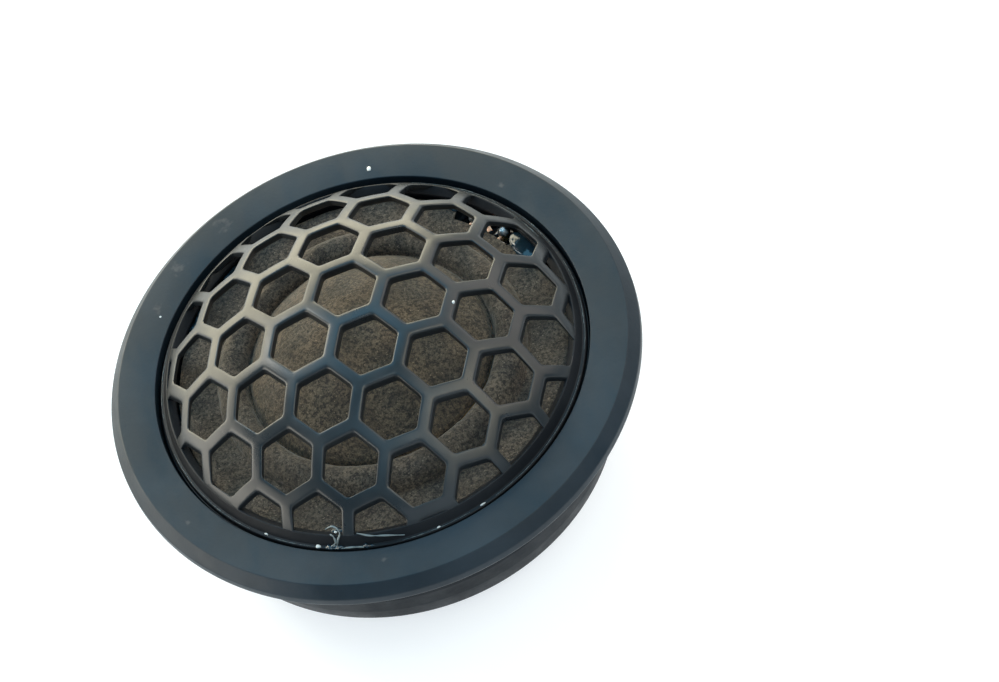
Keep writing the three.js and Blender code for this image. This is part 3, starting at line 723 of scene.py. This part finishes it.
def cell_loop(half_width):
    """A hexagon inside one cell, half_width in from the bars' centre lines, with rounded corners."""
    corner_r = (CELL_PITCH / 2 - half_width) * 2 / sqrt(3)
    corners = [polar(corner_r, CELL_TURN + 30 + 60 * k).xy for k in range(7)]
    fillet = CELL_FILLET * half_width
    reach = fillet / sqrt(3)
    loop = []
    for k, (here, ahead) in enumerate(zip(corners, corners[1:])):
        length = (ahead - here).length
        for t in SIDE_STEPS:
            point = here.lerp(ahead, t)
            for corner, gap in ((here, t * length), (ahead, (1 - t) * length)):
                if gap < reach:
                    centre = corner * (1 - fillet * 2 / sqrt(3) / corner.length)
                    point = centre + (point - centre).normalized() * fillet
                    break
            loop.append(point)
    return loop


def hex_grille():
    bm = bmesh.new()
    loops = [(cell_loop(half_width), depth) for half_width, depth in BAR_SECTION]
    for centre in cell_centres():
        rings = [[bm.verts.new(grille_point(centre + spot, depth)) for spot in loop] for loop, depth in loops]
        skin(bm, rings)
    bmesh.ops.remove_doubles(bm, verts=bm.verts, dist=0.003)
    bmesh.ops.bisect_plane(bm, geom=bm.verts[:] + bm.edges[:] + bm.faces[:], plane_co=(0, 0, BARS_END_Z),
                           plane_no=(0, 0, -1), clear_outer=True)
    bmesh.ops.holes_fill(bm, edges=[edge for edge in bm.edges if edge.is_boundary], sides=0)
    border = grille_border()
    # The border takes the darker, duller plastic, which paints shade on the border wall and ledge.
    for face in border.faces:
        face.material_index = 1
    grille = new_object("honeycomb_grille", merge_bm(bm, border), GRILLE_BLACK, 40)
    grille.data.materials.append(BORDER_DULL_SHADED_BLACK)
    place(grille, "grille_plastic", "hex_grille")


def grille_border():
    """The steep border that the bars run into, with a ledge and the rim that drops into the flange."""
    outline = [
        (RIM_BORE_R, RIM_BOTTOM_Z, 0.2), (RIM_R, RIM_BOTTOM_Z, 0.2), (RIM_R, RIM_TOP_Z, 0.12),
        (LEDGE_R, RIM_TOP_Z, 0.05), (LEDGE_R, LEDGE_Z - 0.04, 0.14), (WALL_R, LEDGE_Z, 0.1),
        (BORDER_R, dome_z(BORDER_R) + 0.02, 0.14), (BORDER_R - 0.9, dome_z(BORDER_R) - 0.7, 0.25),
        (RIM_BORE_R, LEDGE_Z - 0.4, 0.3),
    ]
    return turned_bm(outline, FINEST)


# ---- moving assembly
DOME_R = 12.6
DOME_BASE_Z = FACE_Z + 0.6
DOME_TOP_Z = heights("dome_diaphragm")[1]
CLOTH_T = 0.28
SURROUND_INNER_R = 13.1
GROOVE_DEEP = 0.55  # from the dome's base down to the groove between its hem and the roll
HEM_WIDE = 0.26  # of the hem, which wraps the outside of the coil's former
HEM_TOP = 0.25  # from the dome's base down to the inner corner, where the former ends
SURROUND_FOOT_R = outer_r("surround")
SURROUND_FOOT_Z = heights("surround")[0]
CLOTH_TOP_Z = SURROUND_FOOT_Z + CLOTH_T
ROLL_FOOT_R = SURROUND_FOOT_R - 2.9
ROLL_RISE = 1.85  # of the roll over a straight line from foot to dome
CLOTH_EDGE_R = 20.6  # trimmed edge of the cloth, past the ring it is bonded to
NOTCH_R = 18.8  # edge of the cloth beside the terminals
FORMER_IN = 0.28  # from the dome's radius in to the former's bore
FORMER_OUT = 0.02  # and to its outside
COIL_TURNS = 14


def dome_outline(radius, base, top, steps):
    """Points from the rim of a spherical cap to its apex."""
    height = top - base
    sphere = (radius ** 2 + height ** 2) / (2 * height)
    edge = asin(radius / sphere)
    angles = (edge * (1 - k / steps) for k in range(steps + 1))
    return [Vector((sphere * sin(a), top - sphere + sphere * cos(a))) for a in angles]


def dome():
    outside = dome_outline(DOME_R, DOME_BASE_Z, DOME_TOP_Z - 0.02, 90)
    inside = dome_outline(DOME_R - CLOTH_T, DOME_BASE_Z, DOME_TOP_Z - CLOTH_T, 30)
    outside[-1].x = inside[-1].x = 0
    hem = [
        Vector((DOME_R + wider, DOME_BASE_Z - lower))
        for wider, lower in ((0.03, 0.12), (HEM_WIDE, GROOVE_DEEP), (0.06, GROOVE_DEEP), (0.02, HEM_TOP))
    ]
    bm = roughen(lathe_bm(outside[::-1] + hem + inside, FINE * 2), 0.05, 2.6, 3.0)
    piece("textile_dome", bm, DOME_CLOTH, "textile", "dome_diaphragm", sharp=60, body="diaphragm")


def surround():
    centre_r = (SURROUND_INNER_R + ROLL_FOOT_R) / 2
    half = (ROLL_FOOT_R - SURROUND_INNER_R) / 2
    groove_z = DOME_BASE_Z - GROOVE_DEEP
    steps = 40
    outside, inside = [], []
    for k in range(steps + 1):
        t = k / steps
        z = CLOTH_TOP_Z + (groove_z - CLOTH_TOP_Z) * t + ROLL_RISE * sin(pi * t)
        outside.append(Vector((centre_r + half * cos(pi * t), z)))
        inside.append(Vector((centre_r + (half - CLOTH_T) * cos(pi * t), z - CLOTH_T)))
    outside.append(Vector((DOME_R + HEM_WIDE + 0.02, groove_z - 0.02)))
    inside.append(Vector((DOME_R + HEM_WIDE + 0.02, groove_z - 0.2)))
    flat_start = CLOTH_EDGE_R - 0.4
    foot = rounded([
        (ROLL_FOOT_R - CLOTH_T, SURROUND_FOOT_Z), (CLOTH_EDGE_R, SURROUND_FOOT_Z, 0.05),
        (CLOTH_EDGE_R, CLOTH_TOP_Z, 0.12), (flat_start, CLOTH_TOP_Z),
    ], 4)
    flat_steps = 16
    flat_long = CLOTH_EDGE_R - ROLL_FOOT_R - 0.55
    flat = [Vector((flat_start - flat_long * k / flat_steps, CLOTH_TOP_Z)) for k in range(1, flat_steps + 1)]
    bm = lathe_bm(inside[1:][::-1] + foot + flat + outside[1:], FINE * 2)
    for vert in bm.verts:
        r, turn = vert.co.xy.length, atan2(vert.co.y, vert.co.x) - radians(TERMINAL_AZ)
        if r > NOTCH_R and abs(turn * r + 0.3) < TERMINAL_WIDE / 2 + 0.6:
            vert.co.xy *= (NOTCH_R + (r - NOTCH_R) * 0.1) / r
    roll = new_object("textile_surround", roughen(bm, 0.09, 1.7, 7.0), SURROUND_CLOTH, 60)
    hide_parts("surround")
    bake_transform(roll)


def voice_coil():
    low = heights("voice_coil_former")[0]
    high = DOME_BASE_Z - HEM_TOP - 0.05
    bm = ring_bm(DOME_R - FORMER_IN, DOME_R - FORMER_OUT, low, high, (0.05, 0.05, 0.05, 0.05))
    piece("coil_former", bm, AMBER_FILM, "former_film", "voice_coil_former", body="diaphragm")
    low, high = heights("voice_coil_winding")
    wire_r = (high - low) / COIL_TURNS / 2
    profile = [Vector((DOME_R + 0.1, high)), Vector((DOME_R + 0.1, low))]
    for k in range(COIL_TURNS):
        centre = Vector((outer_r("voice_coil_winding") - wire_r, low + wire_r * (2 * k + 1)))
        profile += [centre + polar(wire_r, -75 + 30 * step).xy for step in range(6)]
    piece("coil_winding", lathe_bm(profile), COPPER, "copper", "voice_coil_winding", sharp=50,
          body="diaphragm")


# ---- motor
CUP_R = outer_r("motor_cup")
CUP_BORE_R = 13.5
CUP_FLOOR_Z = 5.0
CUP_GROOVE = 0.06  # depth of the turned groove round the cup
CAP_BORE_R = 11.7
CAP_TOP = 0.3  # thickness over the pole plate


def motor():
    low, high = heights("motor_cup")
    waist_r = CUP_R - CUP_GROOVE
    bm = turned_bm([
        (0, low), (CUP_R, low, 0.6), (CUP_R, high - 3.2, 0.05), (waist_r, high - 3.0, 0.05),
        (waist_r, high - 2.6, 0.05), (CUP_R, high - 2.4, 0.05), (CUP_R, high, 0.25),
        (CUP_BORE_R, high, 0.25), (CUP_BORE_R, CUP_FLOOR_Z, 0.8), (0, CUP_FLOOR_Z),
    ])
    piece("yoke_cup", bm, ZINC_STEEL, "steel", "motor_cup")
    bm = disc_bm(outer_r("magnet"), *heights("magnet"), 0.35, 0.35)
    piece("magnet_disc", bm, NICKEL, "nickel_plate", "magnet")
    bm = disc_bm(outer_r("pole_plate"), *heights("pole_plate"), 0.2, 0.25)
    piece("pole_disc", bm, ZINC_STEEL, "steel", "pole_plate")
    low, high = heights("shorting_cap")
    cap_r = outer_r("shorting_cap")
    bm = turned_bm([
        (CAP_BORE_R, low), (cap_r, low, 0.1), (cap_r, high, 0.3), (0, high), (0, high - CAP_TOP),
        (CAP_BORE_R, high - CAP_TOP),
    ])
    piece("copper_cap", bm, COPPER, "copper", "shorting_cap")
    low, high = heights("damping_felt")
    bm = turned_bm([(0, low), (8.9, low, 0.3), (8.95, high - 0.1, 0.5), (0, high - 0.05)])
    roughen(rings_added(bm, 40), 0.12, 0.9, 5.0)
    piece("felt_disc", bm, GREY_FELT, "felt", "damping_felt", sharp=80)


# ---- diaphragm carrier
CARRIER_R = outer_r("diaphragm_carrier")
CARRIER_TUBE_R = 16.9
CARRIER_SEAT_R = 18.0
CARRIER_FLANGE_T = 1.2
RIM_SUPPORT_BORE_R = 18.25
GASKET_INNER_R = 18.42
GASKET_OUTER_R = 19.05
PIN_SPREAD = 1.9  # half the distance between the two pins
LEAD_SLOT = (5.6, 1.2, 2.0)  # in the carrier's seat, where a braided lead passes


def diaphragm_carrier():
    low, high = heights("diaphragm_carrier")
    step = low + CARRIER_FLANGE_T
    seat_low = heights("motor_cup")[1] + 0.2
    outer, inner = CUP_R + 0.2, CUP_BORE_R + 0.5
    bm = turned_bm([
        (outer, seat_low, 0.05), (outer, low, 0.1), (CARRIER_R, low, 0.15), (CARRIER_R, step, 0.15),
        (CARRIER_TUBE_R, step, 0.3), (CARRIER_TUBE_R, high - 1.2, 0.2), (CARRIER_SEAT_R, high - 0.8, 0.1),
        (CARRIER_SEAT_R, high, 0.15), (inner, high, 0.15), (inner, seat_low, 0.1),
    ])
    tools = [terminal_opening(TERMINAL_DEEP + 3, TERMINAL_R + 1.3, low, step)]
    tools += [cylinder_bm(1.0, low - 1, step + 1, middle(screw)) for screw in SCREWS]
    for side in (-1, 1):
        tools.append(box_bm(LEAD_SLOT, at_terminal(16.0, side * PIN_SPREAD, FACE_Z - 1.65), TERMINAL_AZ))
    piece("carrier_frame", bm, CARRIER_BLACK, "carrier_plastic", "diaphragm_carrier", tools=tools)


def surround_ring():
    low, high = heights("surround_ring")
    bm = ring_bm(RIM_SUPPORT_BORE_R, SURROUND_FOOT_R, low, high, (0.1, 0.15, 0.15, 0.1))
    opening = terminal_opening(3, (RIM_SUPPORT_BORE_R + SURROUND_FOOT_R) / 2, low, high)
    piece("rim_support_ring", bm, CARRIER_BLACK, "carrier_plastic", "surround_ring", tools=[opening])


def carrier_gasket():
    bm = ring_bm(GASKET_INNER_R, GASKET_OUTER_R, *heights("carrier_gasket"), (0.15, 0.15, 0.2, 0.2))
    roughen(bm, 0.05, 0.8, 11.0)
    piece("foam_gasket", bm, BLACK_FOAM, "foam", "carrier_gasket", sharp=80)


HEAD_R = 1.6
HEAD_HIGH = 0.9
THREAD_R = 0.75
THREAD_DEEP = 0.18
THREAD_PITCH = 0.42
RECESS = (1.9, 0.42, 0.9)  # one arm of the cross recess, end to end


def threaded_bm(bottom, top, sides=28, per_turn=10):
    """A threaded rod with a pointed end, closed at both ends."""
    bm = bmesh.new()
    count = int((top - bottom) / THREAD_PITCH * per_turn)
    rings = []
    for i in range(count + 1):
        z = bottom + (top - bottom) * i / count
        taper = min(1.0, 0.35 + (top - z) / (3 * THREAD_R))
        ring = []
        for k, a in enumerate(circle(sides)):
            turn = z / THREAD_PITCH - k / sides
            crest = 1 - abs(2 * (turn % 1) - 1)
            r = (THREAD_R - THREAD_DEEP + THREAD_DEEP * crest ** 1.5) * taper
            ring.append(bm.verts.new((r * cos(a), r * sin(a), z)))
        rings.append(ring)
    skin(bm, rings, capped=True)
    return bm


def carrier_screws():
    for screw in SCREWS:
        low, high = heights(screw)
        spot = middle(screw)
        neck_z = low + HEAD_HIGH
        head = turned_bm([
            (0, low), (1.1, low, 0.3), (HEAD_R, low + 0.35, 0.25), (HEAD_R, neck_z, 0.1), (0, neck_z),
        ], SMALL)
        turn = azimuth_of(screw) * 1.7
        body = new_object(screw + "_steel", head, SCREW_STEEL)
        cut(body, [box_bm(RECESS, (0, 0, low), turn + angle, 0.08) for angle in (0, 90)])
        shank = threaded_bm(neck_z - 0.05, high)
        bmesh.ops.scale(shank, vec=(MM, MM, MM), verts=shank.verts)
        shank.from_mesh(body.data)
        shank.to_mesh(body.data)
        shank.free()
        body.location = (spot.x * MM, spot.y * MM, 0)
        place(body, "screw_steel", screw)


# ---- terminals and leads
PIN_RADIAL = TERMINAL_R - 0.3
PIN_R = 0.5
LEAD_Z = FACE_Z - 1.95
LEAD_START_R = 12.95  # at the coil's former
LEAD_END_R = PIN_RADIAL - 0.62
LEAD_TWISTS = 5
STRAND_R = 0.12
STRAY_R = 0.07
WIRE_R = 0.41
WIRE_RING_R = 20.4  # the two wires run round the chamber, WIRE_APART to each side of here
WIRE_APART = 0.65
WIRE_RUN_Z = CAN_REAR_Z + 4.0


def terminal_block():
    low, high = heights("terminal_block")
    bm = box_bm((TERMINAL_DEEP, TERMINAL_WIDE, high - low), at_terminal(TERMINAL_R, 0, (low + high) / 2),
                TERMINAL_AZ, 0.22, 4)
    tools = [cylinder_bm(0.6, low - 1, high + 1, at_pin(side)) for side in (-1, 1)]
    tools.append(box_bm((TERMINAL_DEEP + 1, 0.5, 0.9), at_terminal(TERMINAL_R, 0, high), TERMINAL_AZ, 0.1))
    piece("terminal_moulding", bm, CARRIER_BLACK, "carrier_plastic", "terminal_block", tools=tools)


def at_pin(side, z=0.0):
    return at_terminal(PIN_RADIAL, side * PIN_SPREAD, z)


def terminal_pin(side, pole):
    name = "terminal_pin_" + pole
    bm = disc_bm(PIN_R, *heights(name), 0.2, 0.15, SMALL)
    piece("brass_pin_" + pole, move_bm(bm, at_pin(side)), BRASS, "brass", name)


def solder_joint(side, pole):
    name = "solder_joint_" + pole
    low, high = heights(name)
    bm = turned_bm([
        (0, low), (0.74, low, 0.08), (0.62, low + 0.22, 0.2), (0.34, high - 0.05, 0.15), (0, high),
    ], SMALL)
    roughen(rings_added(bm, 4), 0.12, 0.6, 2.0 + side)
    piece("solder_" + pole, move_bm(bm, at_pin(side)), SOLDER, "solder", name, sharp=80)


def braided_lead(side, pole):
    """Three twisted strands from the coil's former out to the pin."""
    steps = 60
    strands = []
    for strand in range(3):
        spots = []
        for k in range(steps + 1):
            t = k / steps
            a = 2 * pi * (strand / 3 + LEAD_TWISTS * t)
            spots.append(at_terminal(
                LEAD_START_R + (LEAD_END_R - LEAD_START_R) * t, side * PIN_SPREAD + STRAND_R * cos(a),
                LEAD_Z + 0.06 * sin(pi * t) + STRAND_R * sin(a)))
        strands.append(tube_bm(spots, STRAND_R, 8))
    lead = new_object("braided_lead_" + pole, merge_bm(*strands), TINSEL, 60)
    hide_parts("tinsel_lead_" + pole)
    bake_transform(lead)


def hookup_wire(side, pole):
    """An insulated wire from a pin, round the chamber to the gland."""
    start = TERMINAL_AZ + 16
    end = GLAND_AZ - 12
    run_r = WIRE_RING_R + WIRE_APART * side
    spots = [at_pin(side, heights("terminal_pin_" + pole)[0] - 0.55)]
    spots += [polar(run_r, start + (end - start) * k / 4, WIRE_RUN_Z) for k in range(5)]
    spots.append(polar(19.6 + 0.55 * side, GLAND_AZ, heights("cable_gland")[1] + 0.9))
    bm = tube_bm(smooth_path(spots, 10), WIRE_R, 20)
    look, slot = (RED_PVC, "red_wire") if side > 0 else (BLACK_PVC, "black_wire")
    piece("insulated_wire_" + pole, bm, look, slot, "hookup_wire_" + pole, sharp=60)


def stray_strands():
    """Copper strands that have frayed from the lead beside the terminals."""
    strands = []
    for number in range(4):
        lift = 0.1 * number
        path = smooth_path([
            polar(20.15 - lift, TERMINAL_AZ + 1.6, CLOTH_TOP_Z - 0.1),
            polar(19.85 - lift, TERMINAL_AZ - 1.0, CLOTH_TOP_Z + 0.12 + lift),
            polar(19.45 - lift * 1.6, TERMINAL_AZ - 3.6, CLOTH_TOP_Z - 0.05 + lift),
        ], 10)
        strands.append(tube_bm(path, STRAY_R, 8))
    piece("stray_strands", merge_bm(*strands), TINSEL, "copper", sharp=60)


# ---- glue round the surround and the grille, with pale beads that also paint the border's edge highlight
# dabs of set adhesive: (azimuth, radius, height, length round the ring, width, thickness, lumpiness),
# where the height is over the cloth for the first ones and over the grille's ledge for the others
CLOTH_DABS = [
    (19.5, 20.2, 0, 4.8, 2.4, 0.3, 0.03), (121.0, 20.4, 0, 4.4, 1.0, 0.4, 0.16),
    (140.5, 20.5, 0, 4.2, 0.9, 0.36, 0.16), (-117.0, 20.6, 0.2, 2.6, 0.9, 0.45, 0.35),
    (-106.0, 20.8, 0.2, 3.4, 0.5, 0.4, 0.3), (48.0, 20.3, 0, 2.4, 0.9, 0.35, 0.25),
    (176.0, 20.4, 0, 3.4, 0.7, 0.3, 0.2), (-62.0, 20.5, 0, 3.0, 0.7, 0.35, 0.25),
]
LEDGE_DABS = [(-117.5, 22.28, 0, 2.3, 0.42, 0.16, 0.3), (-108.0, 22.3, 0, 1.5, 0.32, 0.1, 0.3)]
# pale crumbs of dried glue and lint: (azimuth, radius, height, length, width, thickness)
CRUMBS = [
    (-121.5, 22.35, LEDGE_Z + 0.02, 0.5, 0.34, 0.2), (-137.0, 22.2, LEDGE_Z + 0.03, 0.5, 0.26, 0.16),
    (-116.5, 21.3, FACE_Z + 1.0, 0.4, 0.3, 0.16), (-89.0, 22.25, LEDGE_Z, 0.34, 0.16, 0.1),
    (-76.0, 22.3, LEDGE_Z, 0.6, 0.12, 0.08), (-102.0, 21.0, CLOTH_TOP_Z + 0.5, 0.7, 0.2, 0.12),
    (73.6, 24.3, FACE_Z, 0.42, 0.62, 0.12), (-18.1, 10.65, FACE_Z + 8.6, 0.45, 0.3, 0.12),
]
CRUMB_LUMPINESS = 0.7  # of a crumb's thickness
# first and last azimuth of the thin beads of pale glue on the ledge, and of those at the top of the border;
# the beads also paint the border's broken edge highlight
LEDGE_SPANS = [
    (-176, -142), (-134, -122), (-99, -80), (-72, -30), (-22, 8), (14, 33), (36, 62), (84, 96), (150, 172),
]
TOP_SPANS = [(17, 24), (25, 36), (37, 49)]
# strings of glue pulled over the grille's border: (azimuth, radius, height over the ledge) along each
GLUE_STRINGS = [
    [(-119.2, 21.2, 1.7), (-117.4, 21.0, 1.95), (-115.9, 21.15, 1.8), (-115.2, 21.5, 1.35),
     (-115.9, 21.85, 0.8), (-116.4, 22.1, 0.2), (-116.6, 22.4, 0)],
    [(-118.0, 21.5, 1.3), (-117.0, 21.7, 1.0), (-116.8, 22.0, 0.4), (-118.4, 22.35, 0)],
    [(-115.6, 22.42, 0), (-112.0, 22.35, 0.08), (-108.5, 22.4, 0)],
    [(-110.5, 21.5, 1.3), (-107.0, 21.75, 1.0), (-103.0, 21.85, 0.75), (-98.0, 22.05, 0.35)],
]


def lump_bm(azimuth, radius, z, long, wide, thick, lumpiness, seed, detail=5):
    """A lump that follows the ring, flat where it lies on the surface at height z."""
    bm = bmesh.new()
    bmesh.ops.create_icosphere(bm, subdivisions=detail, radius=1.0)
    bmesh.ops.scale(bm, vec=(wide / 2, long / 2, thick), verts=bm.verts)
    roughen(bm, lumpiness, 0.9, seed)
    for vert in bm.verts:
        bend = radians(azimuth) + vert.co.y / radius
        r = radius + vert.co.x
        vert.co = Vector((r * cos(bend), r * sin(bend), max(z + vert.co.z, z - 0.06)))
    return bm


def glue_dabs():
    """Set adhesive squeezed out beside the cloth's rim and at the foot of the grille."""
    dabs = [(CLOTH_TOP_Z, dab) for dab in CLOTH_DABS] + [(LEDGE_Z, dab) for dab in LEDGE_DABS]
    for number, (base, (azimuth, radius, rise, *sizes)) in enumerate(dabs, 1):
        bm = lump_bm(azimuth, radius, base + rise, *sizes, number * 1.7)
        piece(f"glue_dab_{number}", bm, GLUE_BLACK, "carrier_plastic", sharp=80)


def glue_crumbs():
    crumbs = [
        lump_bm(*crumb, crumb[-1] * CRUMB_LUMPINESS, 40 + number, 4) for number, crumb in enumerate(CRUMBS)
    ]
    piece("glue_crumbs", merge_bm(*crumbs), PALE_CRUMB, "carrier_plastic", sharp=80)


def bead_bm(first, last, number, radius, z):
    """A thin broken bead of pale glue that follows the grille's border and paints its broken edge highlight.
    """
    count = int((last - first) * 2)
    spots = []
    for k in range(count + 1):
        azimuth = first + (last - first) * k / count
        wander = turbulence(polar(3.0, azimuth * 3.0, number), 3, False)
        spots.append(polar(radius + 0.05 * wander, azimuth, z))

    def radius_at(t):
        swell = turbulence(Vector((t * (last - first) * 0.5, number, 0)), 3, True)
        return max(0.01, 0.06 * swell * sin(pi * t) ** 0.3)

    return tube_bm(spots, radius_at, 10)


def glue_bead_and_highlight():
    # The pale beads are glue and also a painted highlight along the border's edge.
    beads = [bead_bm(*span, number, 22.34, LEDGE_Z + 0.02) for number, span in enumerate(LEDGE_SPANS)]
    top_z = dome_z(BORDER_R)
    beads += [bead_bm(*span, number, BORDER_R + 0.05, top_z) for number, span in enumerate(TOP_SPANS, 20)]
    piece("glue_bead_and_highlight", merge_bm(*beads), CLEAR_GLUE_AND_HIGHLIGHT, "carrier_plastic", sharp=80)


def glue_strings():
    strings = []
    for number, string in enumerate(GLUE_STRINGS):
        spots = smooth_path([polar(radius, azimuth, LEDGE_Z + rise) for azimuth, radius, rise in string], 8)

        def radius_at(t, number=number):
            return 0.045 + 0.075 * abs(sin(2.3 * pi * t + number)) * sin(pi * t) ** 0.5

        strings.append(tube_bm(spots, radius_at, 10))
    piece("glue_strings", merge_bm(*strings), CLEAR_GLUE_AND_HIGHLIGHT, "carrier_plastic", sharp=80)


front_flange()
neck_seal()
rear_can()
cable_gland()
chamber_foam()
hex_grille()
dome()
surround()
voice_coil()
motor()
diaphragm_carrier()
surround_ring()
carrier_gasket()
carrier_screws()
terminal_block()
for lead_side, lead_pole in ((1, "positive"), (-1, "negative")):
    terminal_pin(lead_side, lead_pole)
    solder_joint(lead_side, lead_pole)
    braided_lead(lead_side, lead_pole)
    hookup_wire(lead_side, lead_pole)
stray_strands()
glue_dabs()
glue_crumbs()
glue_bead_and_highlight()
glue_strings()


# ---- stage, light and camera
def floor_material():
    mat, tree, shader = material("pale_floor")
    cloud = ramp(tree, noise(tree, 6.0, 3.0, 0.5), 0.3, 0.7)
    fill(tree, shader, Base_Color=mix(tree, cloud, (0.36, 0.365, 0.37), (0.4, 0.4, 0.4)), Roughness=0.6,
         Emission_Color=(0.90, 0.95, 1.0), Emission_Strength=0.70)
    return mat


def make_floor():
    bm = bmesh.new()
    bmesh.ops.create_grid(bm, x_segments=8, y_segments=8, size=3000.0)
    floor = new_object("floor", bm, floor_material())
    floor.location.z = -0.02 * MM  # just under the boss


def direction(azimuth, elevation):
    """Unit vector away from the part."""
    return polar(cos(radians(elevation)), azimuth, sin(radians(elevation)))


def panel(name, azimuth, elevation, size, colour, radiance, distance=1.4):
    """A soft light panel that faces the tweeter."""
    away = direction(azimuth, elevation)
    lamp = bpy.data.lights.new(name, "AREA")
    lamp.shape = "RECTANGLE"
    lamp.size, lamp.size_y = size
    lamp.color = colour
    lamp.energy = radiance * pi * size[0] * size[1]
    obj = bpy.data.objects.new(name, lamp)
    obj.location = away * distance + Vector((0, 0, FACE_Z * MM))
    obj.rotation_mode = "QUATERNION"
    obj.rotation_quaternion = away.to_track_quat("Z", "Y")
    obj.visible_camera = False
    bpy.context.scene.collection.objects.link(obj)


def make_lights():
    # name, azimuth, elevation, size, colour, radiance
    panel("back_panel", 104, 12, (2.3, 1.45), (1.0, 0.91, 0.66), 7.5)
    panel("left_panel", 176, 12, (1.7, 0.7), (1.0, 0.92, 0.78), 5.5)
    panel("top_panel", 102, 66, (1.5, 0.85), (0.22, 0.66, 1.0), 2.25)
    panel("side_panel", -38, 54, (1.2, 0.8), (1.0, 0.90, 0.68), 3.8)
    panel("right_panel", 22, 32, (1.5, 0.9), (1.0, 0.88, 0.76), 2.4)
    panel("near_panel", -82, 66, (1.2, 0.7), (0.22, 0.66, 1.0), 1.3)
    panel("front_panel", -78, 22, (1.6, 0.4), (0.78, 0.84, 0.9), 1.5)
    panel("key", 130, 42, (0.6, 0.6), (1.0, 0.95, 0.85), 12.0, distance=2.0)
    world = bpy.data.worlds.new("studio")
    world.use_nodes = True
    fill(world.node_tree, world.node_tree.nodes["Background"], Color=(0.42, 0.75, 1.0), Strength=0.42)
    bpy.context.scene.world = world


# The camera stands on the near side, high above the flange, and is rolled so that the sound axis
# leans to the left of upright.
CAMERA_AZIMUTH = -87.77
CAMERA_ELEVATION = 53.54
CAMERA_DISTANCE = 742.8  # from the centre of the flange's face
LOOK_AZIMUTH = -89.45  # of the way back along the line of sight
LOOK_ELEVATION = 53.79
CAMERA_ROLL = -22.15
CAMERA_LENS = 260.8  # with a 36 mm sensor


def make_camera():
    data = bpy.data.cameras.new("camera")
    data.sensor_width = 36.0
    data.lens = CAMERA_LENS
    data.clip_start, data.clip_end = 0.05, 20.0
    camera = bpy.data.objects.new("camera", data)
    way = direction(CAMERA_AZIMUTH, CAMERA_ELEVATION)
    camera.location = (Vector((0, 0, FACE_Z)) + way * CAMERA_DISTANCE) * MM
    camera.rotation_mode = "QUATERNION"
    level = direction(LOOK_AZIMUTH, LOOK_ELEVATION).to_track_quat("Z", "Y")
    camera.rotation_quaternion = level @ Quaternion((0, 0, 1), radians(CAMERA_ROLL))
    bpy.context.scene.collection.objects.link(camera)
    bpy.context.scene.camera = camera


make_camera()
make_floor()
make_lights()
bpy.context.scene.view_settings.view_transform = "Standard"
